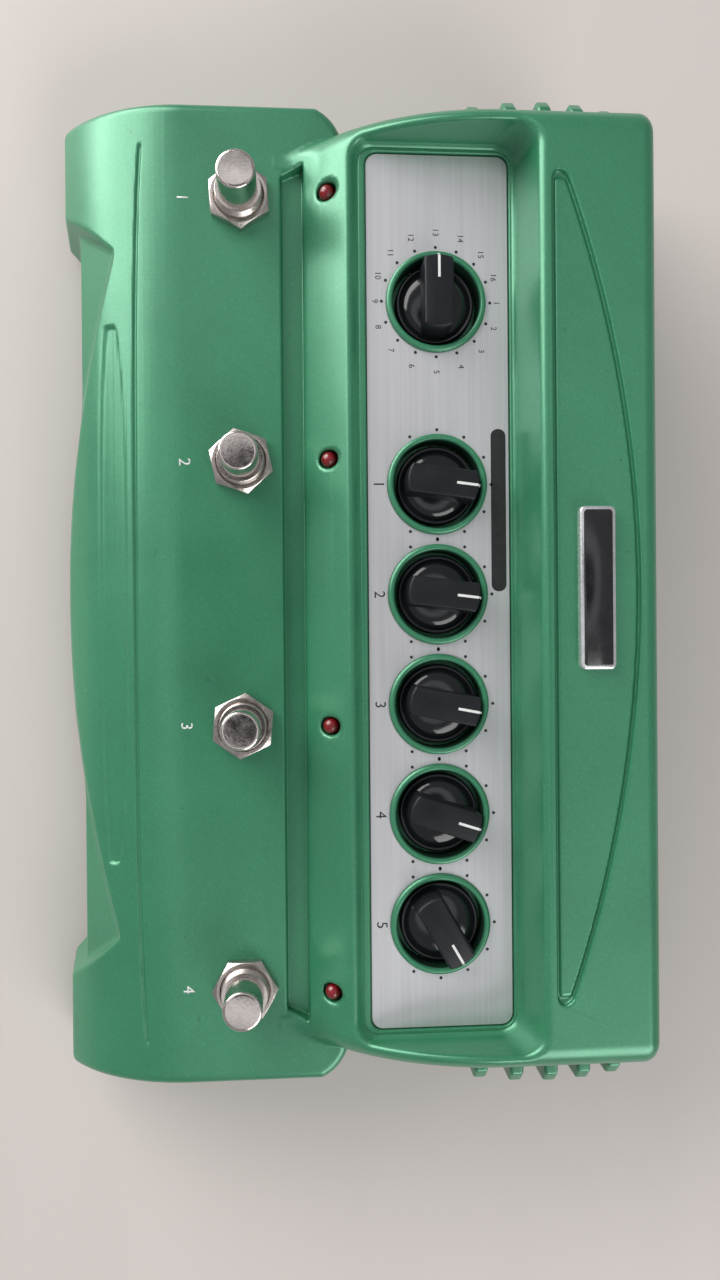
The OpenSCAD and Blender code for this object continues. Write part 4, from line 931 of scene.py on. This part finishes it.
# Footswitches: button, threaded bush and nut
PLUNGER = [(0, 24.2), (3.0, 24.2), (3.0, 29.2), (6.6, 29.2), (6.6, 31.6), (5.05, 31.6), (5.05, 53.75),
           (4.98, 54.02), (4.8, 54.22), (4.5, 54.34), (4.1, 54.38), (0, 54.4)]
THREAD_CORE, THREAD_Z, THREAD_PITCH, THREAD_TURNS = 5.85, 40.6, 0.5, 6
THREAD_STEPS = ((6.02, 0.05), (6.22, 0.25), (6.02, 0.45))
NUT_W, NUT_H, NUT_BORE, NUT_TURNS = 15.4, 2.8, 6.06, (-27, -18, -35, 1)
thread = [(THREAD_CORE, THREAD_Z)]
thread += [(r, THREAD_Z + THREAD_PITCH * k + d) for k in range(THREAD_TURNS) for r, d in THREAD_STEPS]
thread += [(THREAD_CORE, THREAD_Z + THREAD_PITCH * THREAD_TURNS)]
threads, nuts = [], []
for i, x in enumerate(SWITCH_X):
    place = Matrix.Translation((x, SWITCH_Y, 0))
    on_deck = Matrix.Translation((x, SWITCH_Y, DECK_H))
    button = simple(f"plunger_{i + 1}", *moved(turned(PLUNGER, 72), place), angle=30, material=nickel)
    piece(button, f"footswitch_{i + 1}", "nickel", f"footswitch_button_{i + 1}")
    threads.append(moved(turned(thread, 72), place))
    nuts.append(moved(hex_nut(NUT_W, NUT_H, NUT_BORE, NUT_TURNS[i]), on_deck))
piece(simple("bush_threads", *merge(*threads), angle=30, material=nut_metal), "chassis", "nickel")
piece(simple("switch_nuts", *merge(*nuts), angle=25, material=nut_metal),
      "chassis", "nickel", "footswitch_nuts")

# Bare badge: silver border round a black face
BADGE_Y, BADGE_W, BADGE_D, BADGE_R, BADGE_RIM = Y_BACK - 16.7, 40.8, 9.1, 1.4, 0.9
BORDER_LAYERS = [(0, 60.3), (0, 62.2), (0.12, 62.45), (0.35, 62.6)]
FACE_LAYERS = [(0, 62.3), (0, 62.7), (0.1, 62.78)]
border = slab(rounded(BADGE_W, BADGE_D, BADGE_R, 0, BADGE_Y), BORDER_LAYERS)
inner = rounded(BADGE_W - 2 * BADGE_RIM, BADGE_D - 2 * BADGE_RIM, 0.9, 0, BADGE_Y)
piece(simple("badge_border", *border, angle=40, material=badge_silver), "chassis", "badge", "badge_plate")
piece(simple("badge_face", *slab(inner, FACE_LAYERS), angle=40, material=badge_black), "chassis", "badge")

# Plain marks: dots round the knobs, a bare black label, and numerals
MARK_LOW, MARK_TOP, NUMERAL_T = PANEL_Z - 0.02, PANEL_Z + 0.03, 0.06
DOT_R, DOT_REACH = 0.42, 14.4
SELECTOR_STEPS = [22.5 * k for k in range(16)]
DIAL_STEPS = [30.0 * k for k in range(-4, 5)]
LABEL = rounded(43.0, 4.0, 1.9, -21.5, 39.9)
NUMERAL_REACH, NUMERAL_WIDER, NUMERAL_FLATTER = 17.2, 1.2, 0.94
DIAL_NUMERAL_Y, DECK_NUMERAL_Y = PLATE_F + 2.7, -43.4
SELECTOR_NUMERAL, DIAL_NUMERAL, DECK_NUMERAL = 2.2, 4.0, 4.4


def flat_text(words, x, y, z, size):
    """Points and faces of thin plain numerals lying on a level face."""
    curve = bpy.data.curves.new("words", "FONT")
    curve.body = words
    curve.size = size * MM
    curve.align_x, curve.align_y = "CENTER", "CENTER"
    curve.extrude = NUMERAL_T * 0.5 * MM
    curve.resolution_u = 4
    ob = link("words", curve)
    me = evaluated_mesh(ob)
    points = [(v.co.x / MM + x, v.co.y / MM + y, v.co.z / MM + z) for v in me.vertices]
    faces = [tuple(p.vertices) for p in me.polygons]
    bpy.data.objects.remove(ob)
    bpy.data.curves.remove(curve)
    bpy.data.meshes.remove(me)
    return points, faces


def welded(ob):
    """Closes the seams that lettering leaves between its faces and sides."""
    bm = bmesh.new()
    bm.from_mesh(ob.data)
    bmesh.ops.remove_doubles(bm, verts=bm.verts, dist=1e-7)
    bm.to_mesh(ob.data)
    bm.free()
    return ob


marks = []
dot = turned([(0, MARK_LOW), (DOT_R, MARK_LOW), (DOT_R, MARK_TOP), (0, MARK_TOP)], 16)
for name, x, _ in KNOBS:
    for a in np.radians(SELECTOR_STEPS if name == "selector" else DIAL_STEPS):
        at = Matrix.Translation((x + DOT_REACH * math.sin(a), ROW + DOT_REACH * math.cos(a), 0))
        marks.append(moved(dot, at))
marks.append(slab(LABEL, [(0, MARK_LOW), (0, MARK_TOP)]))
for k, a in enumerate(np.radians(SELECTOR_STEPS)):
    reach = NUMERAL_REACH + NUMERAL_WIDER * abs(math.sin(a))
    x, y = SELECTOR_X + reach * math.sin(a), ROW + reach * math.cos(a) * NUMERAL_FLATTER
    marks.append(flat_text(str(k + 1), x, y, PANEL_Z, SELECTOR_NUMERAL))
for k, x in enumerate(DIAL_X):
    marks.append(flat_text(str(k + 1), x, DIAL_NUMERAL_Y, PANEL_Z, DIAL_NUMERAL))
piece(welded(simple("panel_marks", *merge(*marks), angle=30, material=black_ink)), "chassis", "badge")
numbers = [flat_text(str(k + 1), x, DECK_NUMERAL_Y, DECK_H + 0.02, DECK_NUMERAL)
           for k, x in enumerate(SWITCH_X)]
piece(welded(simple("deck_numbers", *merge(*numbers), angle=30, material=white_ink)), "chassis", "badge")

# Studio: pale floor, a broad and a low window light from the front left, a fill card and a soft sky
FLOOR_HALF, FLOOR_Z = 3000, -0.05
AIM = (0, 0, 0.03)
SKY_LEVELS = ((0.0, 0.30), (0.86, 0.30), (0.90, 0.98), (0.945, 0.98), (0.975, 0.03))
pale_floor = material("pale_floor", (0.66, 0.60, 0.57), rough=0.5, grain=0.05, grain_size=0.002,
                      spread=0.015, patch=0.08, stretch=(0.12, 1, 1))
corners = [(a * FLOOR_HALF, b * FLOOR_HALF, FLOOR_Z) for a, b in ((-1, -1), (1, -1), (1, 1), (-1, 1))]
floor = simple("floor", corners, [(0, 1, 2, 3)], material=pale_floor)


def area_light(name, place, w, h, power, colour=(1, 1, 1)):
    """Rectangular light, in metres and watts, that faces the pedal."""
    light = bpy.data.lights.new(name, "AREA")
    light.shape = "RECTANGLE"
    light.size, light.size_y = w, h
    light.energy = power
    light.color = colour
    ob = link(name, light)
    ob.location = place
    ob.rotation_euler = (Vector(AIM) - Vector(place)).to_track_quat("-Z", "Y").to_euler()


area_light("window", (-0.86, -0.85, 0.68), 1.3, 0.9, 17.0, (1.0, 0.99, 0.98))
area_light("low_window", (-1.02, -0.98, 0.25), 1.0, 0.4, 7.0)
area_light("fill_card", (1.10, 0.60, 0.85), 1.0, 0.8, 10.0)
world = bpy.data.worlds.new("soft_fill")
bpy.context.scene.world = world
world.use_nodes = True
sky = world.node_tree
way = sky.nodes.new("ShaderNodeTexCoord")
part = sky.nodes.new("ShaderNodeSeparateXYZ")
dome = sky.nodes.new("ShaderNodeValToRGB")
stops = dome.color_ramp.elements
while len(stops) < len(SKY_LEVELS):
    stops.new(0.5)
for stop, (at, level) in zip(stops, SKY_LEVELS):
    stop.position = at
    stop.color = (0.97 * level, 0.98 * level, level, 1)
sky.links.new(way.outputs["Generated"], part.inputs["Vector"])
sky.links.new(part.outputs["Z"], dome.inputs["Fac"])
sky.links.new(dome.outputs["Color"], sky.nodes["Background"].inputs["Color"])
sky.nodes["Background"].inputs["Strength"].default_value = 1.0

# Camera where the photo was taken from, looking down with the pedal's left end at the top
TILT_X, TILT_Y, TILT_Z = 0.0037, -0.0694, -0.0083
FOCAL, PICTURE_H, SENSOR_H = 923.97, 1280.0, 36.0
CAMERA_AT = Vector((11.713, -14.003, 287.933)) * MM
DOWN = Matrix(((0, 1, 0), (1, 0, 0), (0, 0, -1)))
tilt = Matrix.Rotation(TILT_Z, 3, "Z") @ Matrix.Rotation(TILT_Y, 3, "Y") @ Matrix.Rotation(TILT_X, 3, "X")
turn = tilt @ DOWN
pose = Matrix.Identity(4)
for k in range(3):
    pose[k] = (turn[0][k], -turn[1][k], -turn[2][k], CAMERA_AT[k])
lens = bpy.data.cameras.new("camera")
lens.sensor_fit = "VERTICAL"
lens.sensor_height = SENSOR_H
lens.lens = FOCAL * SENSOR_H / PICTURE_H
lens.clip_start = 0.01
camera = link("camera", lens)
camera.matrix_world = pose
bpy.context.scene.camera = camera
bpy.context.scene.view_settings.view_transform = "Standard"
